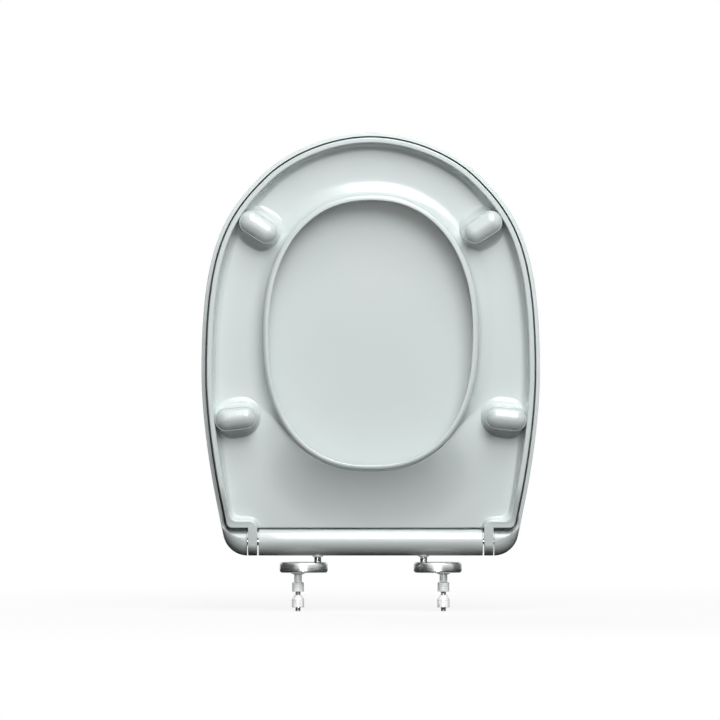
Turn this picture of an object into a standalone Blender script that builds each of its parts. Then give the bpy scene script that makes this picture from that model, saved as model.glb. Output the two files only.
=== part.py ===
"""Soft-close toilet seat: a hard plastic seat ring and lid on one hinge bar, with its bowl fixings.

Units are metres, +Z up. The origin lies on the bowl's top face, midway between the two fixing bolts. Seat and
lid are modelled raised: X runs across, Z from the hinge axis to the front edge, and +Y is the side that is
uppermost in use. Heights through seat and lid are measured along Y from the hinge axis, so the underside is
negative.
"""

import math

import bmesh
import bpy
from mathutils import Vector

for old in list(bpy.data.objects):
    bpy.data.objects.remove(old, do_unlink=True)

MM = 0.001

# Fits shared by all pieces
GAP = 0.3 * MM
OVERRUN = 3.0 * MM
ROUND_STEPS = 4
SHORT_STEPS = 3
SMALL_SIDES = 16
LARGE_SIDES = 28
SMOOTH_ANGLE = math.radians(35.0)

# Hinge bar
AXIS_HEIGHT = 33.0 * MM
BAR_RADIUS = 15.0 * MM
BAR_BORE_RADIUS = 10.0 * MM
BAR_HALF_LENGTH = 119.4 * MM
BAR_EDGE = 0.8 * MM
BAR_CLEARANCE = 2.0 * MM

# Seat ears and lid shoulders that the bar's shafts run in
EAR_GAP = 1.4 * MM
EAR_THICKNESS = 9.8 * MM
EAR_SINK = 3.5 * MM
EAR_ROUND_REACH = 3.0 * MM
SHOULDER_GAP = 1.0 * MM
SHOULDER_BORE_DEPTH = 16.4 * MM
BUSH_RADIUS = 6.7 * MM
EAR_INNER = BAR_HALF_LENGTH + EAR_GAP
EAR_OUTER = EAR_INNER + EAR_THICKNESS
SHOULDER_INNER = EAR_OUTER + SHOULDER_GAP

# Edge of the lid seen square on: two curves to the widest point, one behind it, a straight taper, a corner
LID_HALF_WIDTH = 180.1 * MM
LID_REACH = 435.6 * MM
WIDEST_REACH = 180.6 * MM
TAPER_REACH = 45.0 * MM
SHOULDER_WIDTH = 33.0 * MM
TAPER_HALF_WIDTH = SHOULDER_INNER + SHOULDER_WIDTH
TAPER_ANGLE = math.radians(11.3)
LID_CORNER_RADIUS = 26.0 * MM
FRONT_CURVE_SHARES = ((0.0, 1.0), (0.25, 1.0), (0.499, 0.92), (0.635, 0.827))
SIDE_CURVE_SHARES = ((0.635, 0.827), (0.882, 0.659), (1.0, 0.504), (1.0, 0.0))
REAR_HANDLE_SHARES = (0.32, 0.28)
FRONT_STEPS = 7
SIDE_STEPS = 8
REAR_STEPS = 5
CORNER_STEPS = 4

# Lid section
LID_SKIRT_DEPTH = 12.0 * MM
LID_SKIRT_THICKNESS = 3.8 * MM
LID_WALL = 5.5 * MM
LID_CROWN = 2.0 * MM
LID_ROUND_WIDTH = 16.0 * MM
LID_ROUND_DROP = 11.0 * MM
LID_FILLET = 7.0 * MM
LID_EDGE = 0.8 * MM
LID_TOP = BAR_RADIUS
LID_REAR_EASE = 0.5 * MM
LID_REAR_SKIRT_DEPTH = 6.5 * MM
LID_REAR_BLEND = 13.0 * MM
HOLLOW_CORNER_RADIUS = 1.5 * MM
SLOT_FLARE = math.radians(57.0)
SHOULDER_FRONT_REACH = 15.0 * MM
SHOULDER_REAR_REACH = -5.0 * MM
SHOULDER_POWER = 1.5
CROWN_SHARES = (0.72, 0.4, 0.1)
LID_TAPER_SHARES = (0.5, 0.72, 0.86)

# Seat ring section, from the rim that follows the lid's edge to the lip round the opening
SEAT_INSET = 5.9 * MM
SEAT_REAR_COVER = 0.4 * MM
SEAT_CORNER_RADIUS = 5.5 * MM
SEAT_TOP_DROP = 1.0 * MM
SEAT_CROWN = 1.5 * MM
SEAT_WALL = 6.0 * MM
RIM_DEPTH = 26.5 * MM
RIM_WIDTH = 5.3 * MM
RIM_EDGE = 1.0 * MM
RIM_WALL_LEAN = 1.2 * MM
VALLEY_FILLET = 8.0 * MM
SEAT_ROUND_WIDTH = 12.0 * MM
SEAT_ROUND_DROP = 6.0 * MM
OPENING_ROUND_WIDTH = 14.0 * MM
OPENING_ROUND_DROP = 9.0 * MM
LIP_WIDTH = 6.4 * MM
LIP_DEPTH = 20.0 * MM
INNER_WALL_WIDTH = 18.0 * MM
REAR_LIP_DEPTH = 13.5 * MM
RELIEF_OFFSET = 0.5 * MM
RELIEF_ROUND = 9.0 * MM
CORNER_GROWTH_SHARE = 0.6
CROWN_STEP_SHARES = (0.25, 0.5, 0.75)
REAR_PLACE_SHARES = (1.0, 0.75, 0.5, 0.25, 0.0)

# Opening in the seat: half an egg in front of its middle and half behind
OPENING_HALF_WIDTH = 108.5 * MM
OPENING_FRONT_INSET = 72.6 * MM
OPENING_REAR_REACH = 81.6 * MM
OPENING_HALF_LENGTH = (LID_REACH - OPENING_FRONT_INSET - OPENING_REAR_REACH) / 2
OPENING_REACH = OPENING_REAR_REACH + OPENING_HALF_LENGTH
OPENING_FRONT_POWER = 2.24
OPENING_REAR_POWER = 2.39

# Rubber pads under the seat and the mounds that carry them, and the round buffers under the lid
PAD_INSET = 33.5 * MM
PAD_RADIUS = 12.2 * MM
PAD_LENGTH = 44.0 * MM
PAD_EDGE = 3.0 * MM
PAD_CROWN = 0.6 * MM
PAD_DRAFT = 0.6 * MM
PEG_RADIUS = 4.0 * MM
PEG_LENGTH = 6.0 * MM
MOUND_DROP = 0.7 * MM
MOUND_MARGIN = 1.2 * MM
MOUND_FLARE = 8.0 * MM
MOUND_OUTER_FLARE = 1.6 * MM
MOUND_SINK = 2.5 * MM
FRONT_PAD_PLACE_SHARE = 0.292
REAR_PAD_PLACE_SHARE = 0.381
BUFFER_RADIUS = 6.0 * MM
BUFFER_EDGE = 1.2 * MM
BUFFER_PEG_RADIUS = 2.5 * MM
BUFFER_PEG_LENGTH = 2.2 * MM
BUFFER_BOSS_MARGIN = 2.0 * MM
BUFFER_BOSS_HEIGHT = 1.5 * MM

# Bowl fixings, outward from the hinge posts
HOLE_SPACING = 155.0 * MM
POST_OFFSET = 21.1 * MM
ROSETTE_OFFSET = 6.1 * MM
ROSETTE_RADIUS = 25.6 * MM
ROSETTE_TOP = 10.9 * MM
ROSETTE_WALL = 1.2 * MM
ROSETTE_BEVEL = 1.2 * MM
ROSETTE_EDGE = 0.4 * MM
GASKET_RADIUS = 24.6 * MM
GASKET_THICKNESS = 1.2 * MM
POST_RADIUS = 3.7 * MM
POST_SHANK_RADIUS = 2.7 * MM
POST_REACH = 7.6 * MM
POST_TIP = 1.2 * MM
GROOVE_RADIUS = 2.9 * MM
GROOVE_WIDTH = 1.6 * MM
GROOVE_REACH = 1.5 * MM
SOCKET_RADIUS = 5.7 * MM
SOCKET_REACH = 10.2 * MM
SOCKET_COLLAR = 1.2 * MM
SOCKET_EDGE = 0.6 * MM
SPRING_RADIUS = 4.7 * MM
SPRING_THICKNESS = 1.0 * MM
SPRING_ANGLE = math.radians(290.0)
BOLT_RADIUS = 2.9 * MM
BOLT_HEAD_RADIUS = 5.6 * MM
BOLT_HEAD_HEIGHT = 4.0 * MM
HEAD_SIDES = 6
HEAD_SIDE_STEPS = 3
BOLT_TIP_DEPTH = 41.5 * MM
BOLT_TIP = 0.8 * MM
CONE_TOP_RADIUS = 9.2 * MM
CONE_DEPTH = 2.2 * MM
SPACER_RADIUS = 4.15 * MM
SPACER_DEPTH = 10.2 * MM
SLEEVE_RADIUS = 6.35 * MM
SLEEVE_DEPTH = 20.3 * MM
NUT_TOP_DEPTH = 23.8 * MM
NUT_CONE_HEIGHT = 4.5 * MM
NUT_RADIUS = 6.5 * MM
NUT_DEPTH = 37.1 * MM
NUT_NOSE_WALL = 0.6 * MM
NUT_EDGE = 0.5 * MM

# Dampers inside the bar, clear of the posts' sockets, and the shafts that they brake
DAMPER_INSET = 0.3 * MM
DAMPER_CLEARANCE = 7.0 * MM
DAMPER_FLOOR = 16.0 * MM
DAMPER_REACH = HOLE_SPACING / 2 - POST_OFFSET + SOCKET_RADIUS + DAMPER_CLEARANCE
DAMPER_LENGTH = BAR_HALF_LENGTH - DAMPER_INSET - DAMPER_REACH
DAMPER_BORE_DEPTH = DAMPER_LENGTH - DAMPER_FLOOR
KEY_WIDTH = 3.0 * MM
KEY_HEIGHT = 1.2 * MM
KEY_INSET = 10.0 * MM
KEY_LENGTH = DAMPER_LENGTH - KEY_INSET
SHAFT_RADIUS = 4.0 * MM
SHAFT_FLAT = 2.9 * MM
SPIGOT_RADIUS = 2.9 * MM

# Colour, roughness and metallic value of each material
MATERIALS = {
    "gloss_plastic": ((0.84, 0.87, 0.86, 1.0), 0.18, 0.0),
    "bar_plastic": ((0.86, 0.88, 0.87, 1.0), 0.2, 0.0),
    "pad_rubber": ((0.8, 0.83, 0.82, 1.0), 0.35, 0.0),
    "bush_plastic": ((0.9, 0.9, 0.88, 1.0), 0.4, 0.0),
    "damper_plastic": ((0.25, 0.26, 0.27, 1.0), 0.45, 0.0),
    "satin_steel": ((0.56, 0.58, 0.57, 1.0), 0.35, 1.0),
    "bright_steel": ((0.75, 0.76, 0.77, 1.0), 0.22, 1.0),
    "spring_steel": ((0.6, 0.6, 0.62, 1.0), 0.3, 1.0),
    "fixing_plastic": ((0.88, 0.9, 0.9, 1.0), 0.35, 0.0),
    "gasket_rubber": ((0.7, 0.72, 0.72, 1.0), 0.6, 0.0),
    "sleeve_rubber": ((0.72, 0.74, 0.75, 1.0), 0.6, 0.0),
}


def material(name):
    """The named material, made once."""
    found = bpy.data.materials.get(name)
    if found:
        return found
    made = bpy.data.materials.new(name)
    made.use_nodes = True
    colour, roughness, metallic = MATERIALS[name]
    shader = made.node_tree.nodes["Principled BSDF"]
    shader.inputs["Base Color"].default_value = colour
    shader.inputs["Roughness"].default_value = roughness
    shader.inputs["Metallic"].default_value = metallic
    made.diffuse_color = colour
    return made


def empty(name, place):
    pivot = bpy.data.objects.new(name, None)
    pivot.location = place
    bpy.context.collection.objects.link(pivot)
    return pivot


def skin(rings, looped=False):
    """A closed mesh through rings of equal count, capped at both ends or, when looped, joined end to end."""
    bm = bmesh.new()
    rows = [[bm.verts.new(point) for point in ring] for ring in rings]
    pairs = list(zip(rows, rows[1:]))
    if looped:
        pairs.append((rows[-1], rows[0]))
    else:
        bm.faces.new(rows[0])
        bm.faces.new(rows[-1])
    for low, high in pairs:
        for k in range(len(low)):
            n = (k + 1) % len(low)
            bm.faces.new((low[k], low[n], high[n], high[k]))
    bmesh.ops.recalc_face_normals(bm, faces=bm.faces)
    return bm


def as_object(name, bm, finish=None, parent=None, place=(0, 0, 0)):
    """An object from a mesh under construction; with no finish it is a cutter or a shape to be joined."""
    mesh = bpy.data.meshes.new(name)
    bm.to_mesh(mesh)
    bm.free()
    mesh.shade_smooth()
    mesh.set_sharp_from_angle(angle=SMOOTH_ANGLE)
    made = bpy.data.objects.new(name, mesh)
    made.location = place
    made.parent = parent
    bpy.context.collection.objects.link(made)
    if finish:
        mesh.materials.append(material(finish))
    else:
        made.hide_render = True
        made.display_type = "WIRE"
    return made


def boolean(target, operation, tool):
    step = target.modifiers.new(tool.name, "BOOLEAN")
    step.operation = operation
    step.object = tool
    step.solver = "EXACT"


def circle(radius, sides, centre=(0.0, 0.0)):
    turns = (math.tau * k / sides for k in range(sides))
    return [(centre[0] + radius * math.cos(a), centre[1] + radius * math.sin(a)) for a in turns]


def double_flat(radius, flat, sides):
    """A circle with two opposite flats."""
    return [(x, max(-flat, min(flat, y))) for x, y in circle(radius, sides)]


def turned(profile, sides, centre=(0.0, 0.0), looped=False):
    """A body turned about a vertical line, from (radius, height) points."""
    rings = [[Vector((*p, z)) for p in circle(r, sides, centre)] for r, z in profile]
    return skin(rings, looped)


def column(radius, low, high, centre=(0.0, 0.0), sides=SMALL_SIDES):
    """An upright round or many-sided column."""
    return turned([(radius, low), (radius, high)], sides, centre)


def along_x(sections, looped=False):
    """A body skinned through (x, outline) sections, each outline in the plane of thickness and reach."""
    return skin([[Vector((x, y, z)) for y, z in outline] for x, outline in sections], looped)


def quarter(steps):
    """Sine and cosine pairs over a quarter turn."""
    for k in range(steps + 1):
        angle = math.pi / 2 * k / steps
        yield math.sin(angle), math.cos(angle)


# Edge of the lid and every edge inside it


def bezier(points, t):
    """Point and inward normal on one cubic curve that runs from the front tip backwards on the right."""
    a, b, c, d = points
    s = 1 - t
    place = a * s**3 + b * (3 * s * s * t) + c * (3 * s * t * t) + d * t**3
    run = ((b - a) * s * s + (c - b) * (2 * s * t) + (d - c) * t * t).normalized()
    return place, Vector((run.y, -run.x))


def edge_curves():
    """The three curves of the lid's edge: front, side and rear."""
    reach = LID_REACH - WIDEST_REACH
    front, side = (
        [Vector((x * LID_HALF_WIDTH, WIDEST_REACH + y * reach)) for x, y in shares]
        for shares in (FRONT_CURVE_SHARES, SIDE_CURVE_SHARES)
    )
    widest = Vector((LID_HALF_WIDTH, WIDEST_REACH))
    end = Vector((TAPER_HALF_WIDTH, TAPER_REACH))
    first, last = (share * (WIDEST_REACH - TAPER_REACH) for share in REAR_HANDLE_SHARES)
    taper = Vector((math.sin(TAPER_ANGLE), math.cos(TAPER_ANGLE)))
    rear = [widest, widest - Vector((0, first)), end + taper * last, end]
    return front, side, rear


def edge_points():
    """Points and inward normals from the front tip to the start of the straight taper."""
    found = []
    for curve, steps in zip(edge_curves(), (FRONT_STEPS, SIDE_STEPS, REAR_STEPS)):
        found += [bezier(curve, k / steps) for k in range(steps)]
    found.append(bezier(edge_curves()[-1], 1))
    return found


EDGE = edge_points()


def half_edge(inset, rear, radius, taper_shares=()):
    """Right half of an edge that runs inside the lid's: front tip to rear middle, with a round corner."""
    points = [place + inward * inset for place, inward in EDGE]
    back = -Vector((math.sin(TAPER_ANGLE), math.cos(TAPER_ANGLE)))
    corner = points[-1] + back * ((points[-1].y - rear) / -back.y)
    turn = math.pi / 2 - TAPER_ANGLE
    start = corner - back * (radius * math.tan(turn / 2))
    centre = start + EDGE[-1][1] * radius
    points += [points[-1].lerp(start, share) for share in taper_shares]
    for k in range(CORNER_STEPS + 1):
        angle = -TAPER_ANGLE - turn * k / CORNER_STEPS
        points.append(centre + Vector((math.cos(angle), math.sin(angle))) * radius)
    points += [Vector((BAR_HALF_LENGTH * share, rear)) for share in REAR_PLACE_SHARES]
    return points


def egg(angle, outset):
    """Point on the seat's opening in the direction of an angle from the front, moved outwards."""
    s, c = math.sin(angle), math.cos(angle)
    power = OPENING_FRONT_POWER if c > 0 else OPENING_REAR_POWER
    u, v = abs(s) / OPENING_HALF_WIDTH, abs(c) / OPENING_HALF_LENGTH
    radius = (u**power + v**power) ** (-1 / power)
    normal = Vector(
        (
            math.copysign(u ** (power - 1) / OPENING_HALF_WIDTH, s),
            math.copysign(v ** (power - 1) / OPENING_HALF_LENGTH, c),
        )
    ).normalized()
    return Vector((radius * s, OPENING_REACH + radius * c)) + normal * outset


# Seat ring


def seat_edge(depth):
    """Right half of an edge of the seat that lies a given depth inside its rim."""
    rear = BAR_RADIUS - SEAT_REAR_COVER + depth
    radius = SEAT_CORNER_RADIUS + CORNER_GROWTH_SHARE * depth
    return half_edge(SEAT_INSET + depth, rear, radius)


def opening_edge(outset):
    """Right half of an edge round the opening, point for point with the seat's rim."""
    rim = seat_edge(0)
    return [egg(math.atan2(p.x, p.y - OPENING_REACH), outset) for p in rim]


def rows_over_the_top():
    """Upper surface from the rim to the opening: right-half edges with their heights."""
    top = -SEAT_TOP_DROP
    rows = [
        (seat_edge(SEAT_ROUND_WIDTH * (1 - c)), top - SEAT_ROUND_DROP * (1 - s))
        for s, c in quarter(ROUND_STEPS)
    ]
    outer, inner = seat_edge(SEAT_ROUND_WIDTH), opening_edge(OPENING_ROUND_WIDTH)
    for share in CROWN_STEP_SHARES:
        between = [a.lerp(b, share) for a, b in zip(outer, inner)]
        rows.append((between, top + SEAT_CROWN * 4 * share * (1 - share)))
    rows += [
        (opening_edge(OPENING_ROUND_WIDTH * (1 - s)), top - OPENING_ROUND_DROP * (1 - c))
        for s, c in quarter(ROUND_STEPS)
    ]
    return rows


def rows_under_the_inside():
    """Round lip and inner wall of the valley under the ring."""
    radius = LIP_WIDTH / 2
    shoulder = radius - LIP_DEPTH
    floor = -SEAT_TOP_DROP - SEAT_WALL
    rows = []
    for k in range(2 * ROUND_STEPS - 1):
        angle = math.pi * k / (2 * ROUND_STEPS - 2)
        rows.append((opening_edge(radius * (1 - math.cos(angle))), shoulder - radius * math.sin(angle)))
    for s, c in list(quarter(ROUND_STEPS))[1:]:
        rows.append((opening_edge(LIP_WIDTH + INNER_WALL_WIDTH * (1 - c)), shoulder + (floor - shoulder) * s))
    return rows


def rows_under_the_rim():
    """Steep wall of the valley and the flat land along the rim."""
    floor = -SEAT_TOP_DROP - SEAT_WALL
    foot = RIM_WIDTH + RIM_WALL_LEAN
    rows = [
        (foot + VALLEY_FILLET * (1 - s), floor - VALLEY_FILLET * (1 - c))
        for s, c in quarter(ROUND_STEPS)
    ]
    rows += [
        (RIM_WIDTH, RIM_EDGE - RIM_DEPTH),
        (RIM_WIDTH - RIM_EDGE, -RIM_DEPTH),
        (RIM_EDGE, -RIM_DEPTH),
        (0.0, RIM_EDGE - RIM_DEPTH),
    ]
    return [(seat_edge(depth), height) for depth, height in rows]


def rear_relief():
    """Cutter that opens the valley to the bar between the ears, with a cove behind and round corners."""
    rear = BAR_RADIUS - SEAT_REAR_COVER
    floor = -SEAT_TOP_DROP - SEAT_WALL
    depth = RIM_WIDTH + RIM_WALL_LEAN + VALLEY_FILLET
    low = -2 * RIM_DEPTH
    sections = [(rear - OVERRUN, EAR_INNER + RELIEF_OFFSET, -REAR_LIP_DEPTH)]
    for s, c in quarter(2 * ROUND_STEPS):
        reach = depth * (1 - c)
        turn = min(1.0, reach / RIM_WIDTH)
        half = EAR_INNER + RELIEF_OFFSET + RELIEF_ROUND * (1 - math.sqrt(1 - turn**2))
        height = -REAR_LIP_DEPTH + (floor - GAP + REAR_LIP_DEPTH) * math.sin(math.pi / 2 * reach / depth)
        sections.append((rear + reach, half, height))
    rings = [
        [Vector((x, y, z)) for x, y in ((-half, low), (half, low), (half, high), (-half, high))]
        for z, half, high in sections
    ]
    return skin(rings)


def level(half, height):
    """Points of a half edge, all at one height."""
    return [Vector((p.x, height, p.y)) for p in half]


def mirrored(right):
    """A closed ring of points from its right half."""
    return right + [Vector((-p.x, p.y, p.z)) for p in right[-2:0:-1]]


def seat_body():
    rows = rows_over_the_top() + rows_under_the_inside() + rows_under_the_rim()
    return skin([mirrored(level(half, height)) for half, height in rows], looped=True)


def ear_outline():
    """Side view of an ear: level with the rim's land in front, round about the axis behind and at its end."""
    face = GAP - RIM_DEPTH
    joint = Vector((-SEAT_TOP_DROP - SEAT_ROUND_DROP, BAR_RADIUS - SEAT_REAR_COVER + EAR_SINK))
    start = math.atan2(joint.x, joint.y) + math.acos(BAR_RADIUS / joint.length)
    steps = LARGE_SIDES // 2
    angles = [start + (math.pi - start) * k / steps for k in range(steps + 1)]
    back = [(BAR_RADIUS * math.sin(a), BAR_RADIUS * math.cos(a)) for a in angles]
    drop = BAR_RADIUS - EAR_ROUND_REACH
    end = [(face * s, -EAR_ROUND_REACH - drop * c) for s, c in quarter(2 * ROUND_STEPS)]
    return back + end[1:] + [(face, joint.y), tuple(joint)]


# Pads, mounds and buffers


class Place:
    """Where a pad sits: a point inside the lid's edge, and the inward direction that its length follows."""

    def __init__(self, curve, share, side):
        point, inward = bezier(edge_curves()[curve], share)
        centre = point + inward * PAD_INSET
        self.centre = Vector((centre.x * side, centre.y))
        self.inward = Vector((inward.x * side, inward.y))

    def ring(self, straight, radius, height, shift=0.0):
        """A stadium at a height; with no straight length it is a circle."""
        across = Vector((-self.inward.y, self.inward.x))
        points = []
        for k in range(SMALL_SIDES):
            angle = math.tau * (2 * k + 1) / (2 * SMALL_SIDES)
            run = radius * math.cos(angle) + shift + math.copysign(straight / 2, math.cos(angle))
            spot = self.centre + self.inward * run + across * (radius * math.sin(angle))
            points.append(Vector((spot.x, height, spot.y)))
        return points


PAD_STRAIGHT = PAD_LENGTH - 2 * PAD_RADIUS
MOUND_TOP = MOUND_DROP - RIM_DEPTH
LID_INNER = LID_TOP - LID_WALL
LID_SWEEP = BAR_RADIUS + BAR_CLEARANCE - LID_REAR_EASE


def mound(place):
    """The seat's boss under a pad: a flat top that flares down into the valley, less so on the rim's side."""
    base = MOUND_SINK - SEAT_TOP_DROP - SEAT_WALL
    rings = []
    for s, c in quarter(SHORT_STEPS):
        flare, outer = MOUND_MARGIN + MOUND_FLARE * s, MOUND_MARGIN + MOUND_OUTER_FLARE * s
        height = base + (MOUND_TOP - base) * c
        straight = PAD_STRAIGHT + outer - flare
        rings.append(place.ring(straight, PAD_RADIUS + flare, height, (flare - outer) / 2))
    return skin(rings)


def pad(place):
    """A rubber pad with a crowned foot and a peg that plugs into the mound."""
    seat = MOUND_TOP - GAP
    rings = [
        place.ring(0.0, PEG_RADIUS, seat + PEG_LENGTH),
        place.ring(0.0, PEG_RADIUS, seat),
        place.ring(PAD_STRAIGHT, PAD_RADIUS, seat),
    ]
    for s, c in quarter(SHORT_STEPS):
        radius = PAD_RADIUS - PAD_DRAFT - PAD_EDGE * (1 - c)
        rings.append(place.ring(PAD_STRAIGHT, radius, PAD_CROWN + PAD_EDGE * (1 - s) - AXIS_HEIGHT))
    rings.append(place.ring(PAD_STRAIGHT, PEG_RADIUS, -AXIS_HEIGHT))
    return skin(rings)


def round_hole(place, radius, low, high):
    return skin([place.ring(0.0, radius, low), place.ring(0.0, radius, high)])


def lid_buffer(place):
    """A round buffer under the lid that rests on the seat's crown."""
    top = LID_INNER - BUFFER_BOSS_HEIGHT - GAP
    foot = SEAT_CROWN - SEAT_TOP_DROP + GAP
    rings = [
        place.ring(0.0, BUFFER_PEG_RADIUS, top + BUFFER_PEG_LENGTH),
        place.ring(0.0, BUFFER_PEG_RADIUS, top),
        place.ring(0.0, BUFFER_RADIUS, top),
        place.ring(0.0, BUFFER_RADIUS, foot + BUFFER_EDGE),
        place.ring(0.0, BUFFER_RADIUS - BUFFER_EDGE, foot),
    ]
    return skin(rings)


# Lid


def lid_outline(depth):
    """Right half of the lid's outline, which runs round the ends of the hinge, moved inwards."""
    return half_edge(depth, depth - BAR_RADIUS, LID_CORNER_RADIUS - depth, LID_TAPER_SHARES)


def inner_edge(depth):
    """Right half of an edge of the lid's hollow, whose rear wall clears the ring's when the lid turns."""
    rear = math.sqrt(LID_SWEEP**2 - LID_REAR_SKIRT_DEPTH**2) + depth
    radius = HOLLOW_CORNER_RADIUS + CORNER_GROWTH_SHARE * depth
    return half_edge(LID_SKIRT_THICKNESS + depth, rear, radius, LID_TAPER_SHARES)


def shoulder_share(point):
    """How far the lid's wall has turned, at a point of its outline, from upright skirt to round shoulder."""
    share = (point.y - SHOULDER_REAR_REACH) / (SHOULDER_FRONT_REACH - SHOULDER_REAR_REACH)
    return 1 - max(0.0, min(1.0, share)) ** SHOULDER_POWER


def outer_row(s, c, wall, away):
    """A row round the lid's edge; the skirt has its own width, start and rise, the shoulder the bar's."""
    row = []
    for outer, inner in zip(lid_outline(0.0), lid_outline(BAR_RADIUS)):
        share = shoulder_share(outer)
        shoulder = (BAR_RADIUS, 0.0, BAR_RADIUS * away)
        width, start, rise = (a + (b - a) * share for a, b in zip(wall, shoulder))
        place = outer.lerp(inner, width * (1 - c) / BAR_RADIUS)
        row.append(Vector((place.x, start + rise * s, place.y)))
    return row


def foot_rows(crest):
    """Rows across the foot of the lid's wall: level under the skirt, round about the hinge at a shoulder."""
    edge, middle = [], []
    rear = inner_edge(0.0)[-1].y
    for inner, outer in zip(inner_edge(0.0), crest):
        share = min(1.0, (inner.y - rear) / LID_REAR_BLEND)
        depth = LID_REAR_SKIRT_DEPTH + (LID_SKIRT_DEPTH - LID_REAR_SKIRT_DEPTH) * share
        edge.append(Vector((inner.x, -depth, inner.y)))
        point = outer.lerp(edge[-1], 0.5)
        radius = BAR_RADIUS + (LID_SWEEP - BAR_RADIUS) * min(1.0, point.z / rear)
        point.y = min(point.y, -math.sqrt(max(0.0, radius**2 - point.z**2)))
        middle.append(point)
    return [middle, edge]


def crowned(row):
    """Rows drawn in towards the middle, rising to the crown."""
    rows = []
    for share in CROWN_SHARES:
        rise = LID_CROWN * (1 - share**2)
        middle = Vector((0, row[0].y + rise, WIDEST_REACH))
        edge = [Vector((p.x, middle.y, p.z)) for p in row]
        rows.append([middle.lerp(p, share) for p in edge])
    return rows


def lid_body():
    upper = (LID_ROUND_WIDTH, LID_TOP - LID_ROUND_DROP, LID_ROUND_DROP)
    lower = (LID_EDGE, LID_EDGE - LID_SKIRT_DEPTH, -LID_EDGE)
    outside = [outer_row(s, c, upper, 1) for s, c in quarter(ROUND_STEPS)]
    outside += crowned(outside[-1])
    foot = [outer_row(s, c, lower, -1) for s, c in quarter(ROUND_STEPS)]
    foot += foot_rows(foot[-1])
    inside = [
        level(inner_edge(LID_FILLET * (1 - c)), LID_INNER - LID_FILLET * (1 - s))
        for s, c in quarter(SHORT_STEPS)
    ]
    inside += crowned(inside[-1])
    return skin([mirrored(row) for row in inside[::-1] + foot[::-1] + outside])


def bar_slot():
    """Cutter that opens the lid's rear edge round the bar and the ears, flared at the top for the posts."""
    radius = BAR_RADIUS + BAR_CLEARANCE
    steps = LARGE_SIDES // 2
    arc = [-math.pi / 2 + (SLOT_FLARE + math.pi / 2) * k / steps for k in range(steps + 1)]
    outline = [(radius * math.sin(a), radius * math.cos(a)) for a in arc]
    outline.append((2 * radius * math.sin(SLOT_FLARE), 2 * radius * math.cos(SLOT_FLARE)))
    outline += [(2 * radius, -2 * radius), (-radius, -2 * radius)]
    return along_x([(-SHOULDER_INNER, outline), (SHOULDER_INNER, outline)])


# Hinge bar, dampers, shafts and bushes


def rod(radius, low, high, sides=SMALL_SIDES):
    return along_x([(low, circle(radius, sides)), (high, circle(radius, sides))])


def bar_body():
    """The bar as a tube with eased ends."""
    rings = []
    for radius, x in (
        (BAR_BORE_RADIUS, -BAR_HALF_LENGTH),
        (BAR_RADIUS - BAR_EDGE, -BAR_HALF_LENGTH),
        (BAR_RADIUS, BAR_EDGE - BAR_HALF_LENGTH),
        (BAR_RADIUS, BAR_HALF_LENGTH - BAR_EDGE),
        (BAR_RADIUS - BAR_EDGE, BAR_HALF_LENGTH),
        (BAR_BORE_RADIUS, BAR_HALF_LENGTH),
    ):
        rings.append((x, circle(radius, LARGE_SIDES)))
    return along_x(rings, looped=True)


def upright_bar(width, low, high, inner, outer):
    """A box across the bar, from one reach to another."""
    half = width / 2
    outline = [(-half, inner), (half, inner), (half, outer), (-half, outer)]
    return along_x([(low, outline), (high, outline)])


def damper_body(side):
    """A damper cylinder with a blind bore for its shaft."""
    outer = BAR_HALF_LENGTH - DAMPER_INSET
    inner = outer - DAMPER_LENGTH
    bottom = outer - DAMPER_BORE_DEPTH
    radius, bore = BAR_BORE_RADIUS - GAP, SHAFT_RADIUS + GAP
    sections = [(inner, radius), (outer, radius), (outer, bore), (bottom, bore)]
    return along_x([(x * side, circle(r, SMALL_SIDES)) for x, r in sections])


def shaft(side, keyed_to_lid):
    """A damper's shaft: flats where it turns the seat's ear or the lid's shoulder, round elsewhere."""
    start = BAR_HALF_LENGTH - DAMPER_INSET - DAMPER_BORE_DEPTH + GAP
    neck = SHOULDER_INNER - GAP if keyed_to_lid else BAR_HALF_LENGTH
    last = SHOULDER_INNER + SHOULDER_BORE_DEPTH - GAP
    full = circle(SHAFT_RADIUS, SMALL_SIDES)
    keyed = double_flat(SHAFT_RADIUS, SHAFT_FLAT, SMALL_SIDES)
    sections = [(start, full), (neck, full), (neck, keyed)]
    if keyed_to_lid:
        sections.append((last, keyed))
    else:
        spigot = circle(SPIGOT_RADIUS, SMALL_SIDES)
        step = EAR_OUTER + GAP
        sections += [(step, keyed), (step, spigot), (last, spigot)]
    return along_x([(x * side, outline) for x, outline in sections])


def bush(side, low, high, bore):
    """A bush between two distances from the middle, round outside, with the bore's own outline."""
    outside = circle(BUSH_RADIUS, SMALL_SIDES)
    sections = [(low, outside), (high, outside), (high, bore), (low, bore)]
    return along_x([(x * side, outline) for x, outline in sections], looped=True)


# Bowl fixings


def rosette_body():
    """The cover disc, hollow below."""
    outer, inner = ROSETTE_RADIUS, ROSETTE_RADIUS - ROSETTE_WALL
    low = GASKET_THICKNESS
    ceiling = ROSETTE_TOP - ROSETTE_WALL
    profile = [
        (inner, ceiling),
        (inner, low),
        (outer - ROSETTE_EDGE, low),
        (outer, low + ROSETTE_EDGE),
        (outer, ROSETTE_TOP - ROSETTE_BEVEL),
        (outer - ROSETTE_BEVEL, ROSETTE_TOP),
    ]
    return turned(profile, LARGE_SIDES)


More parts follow.
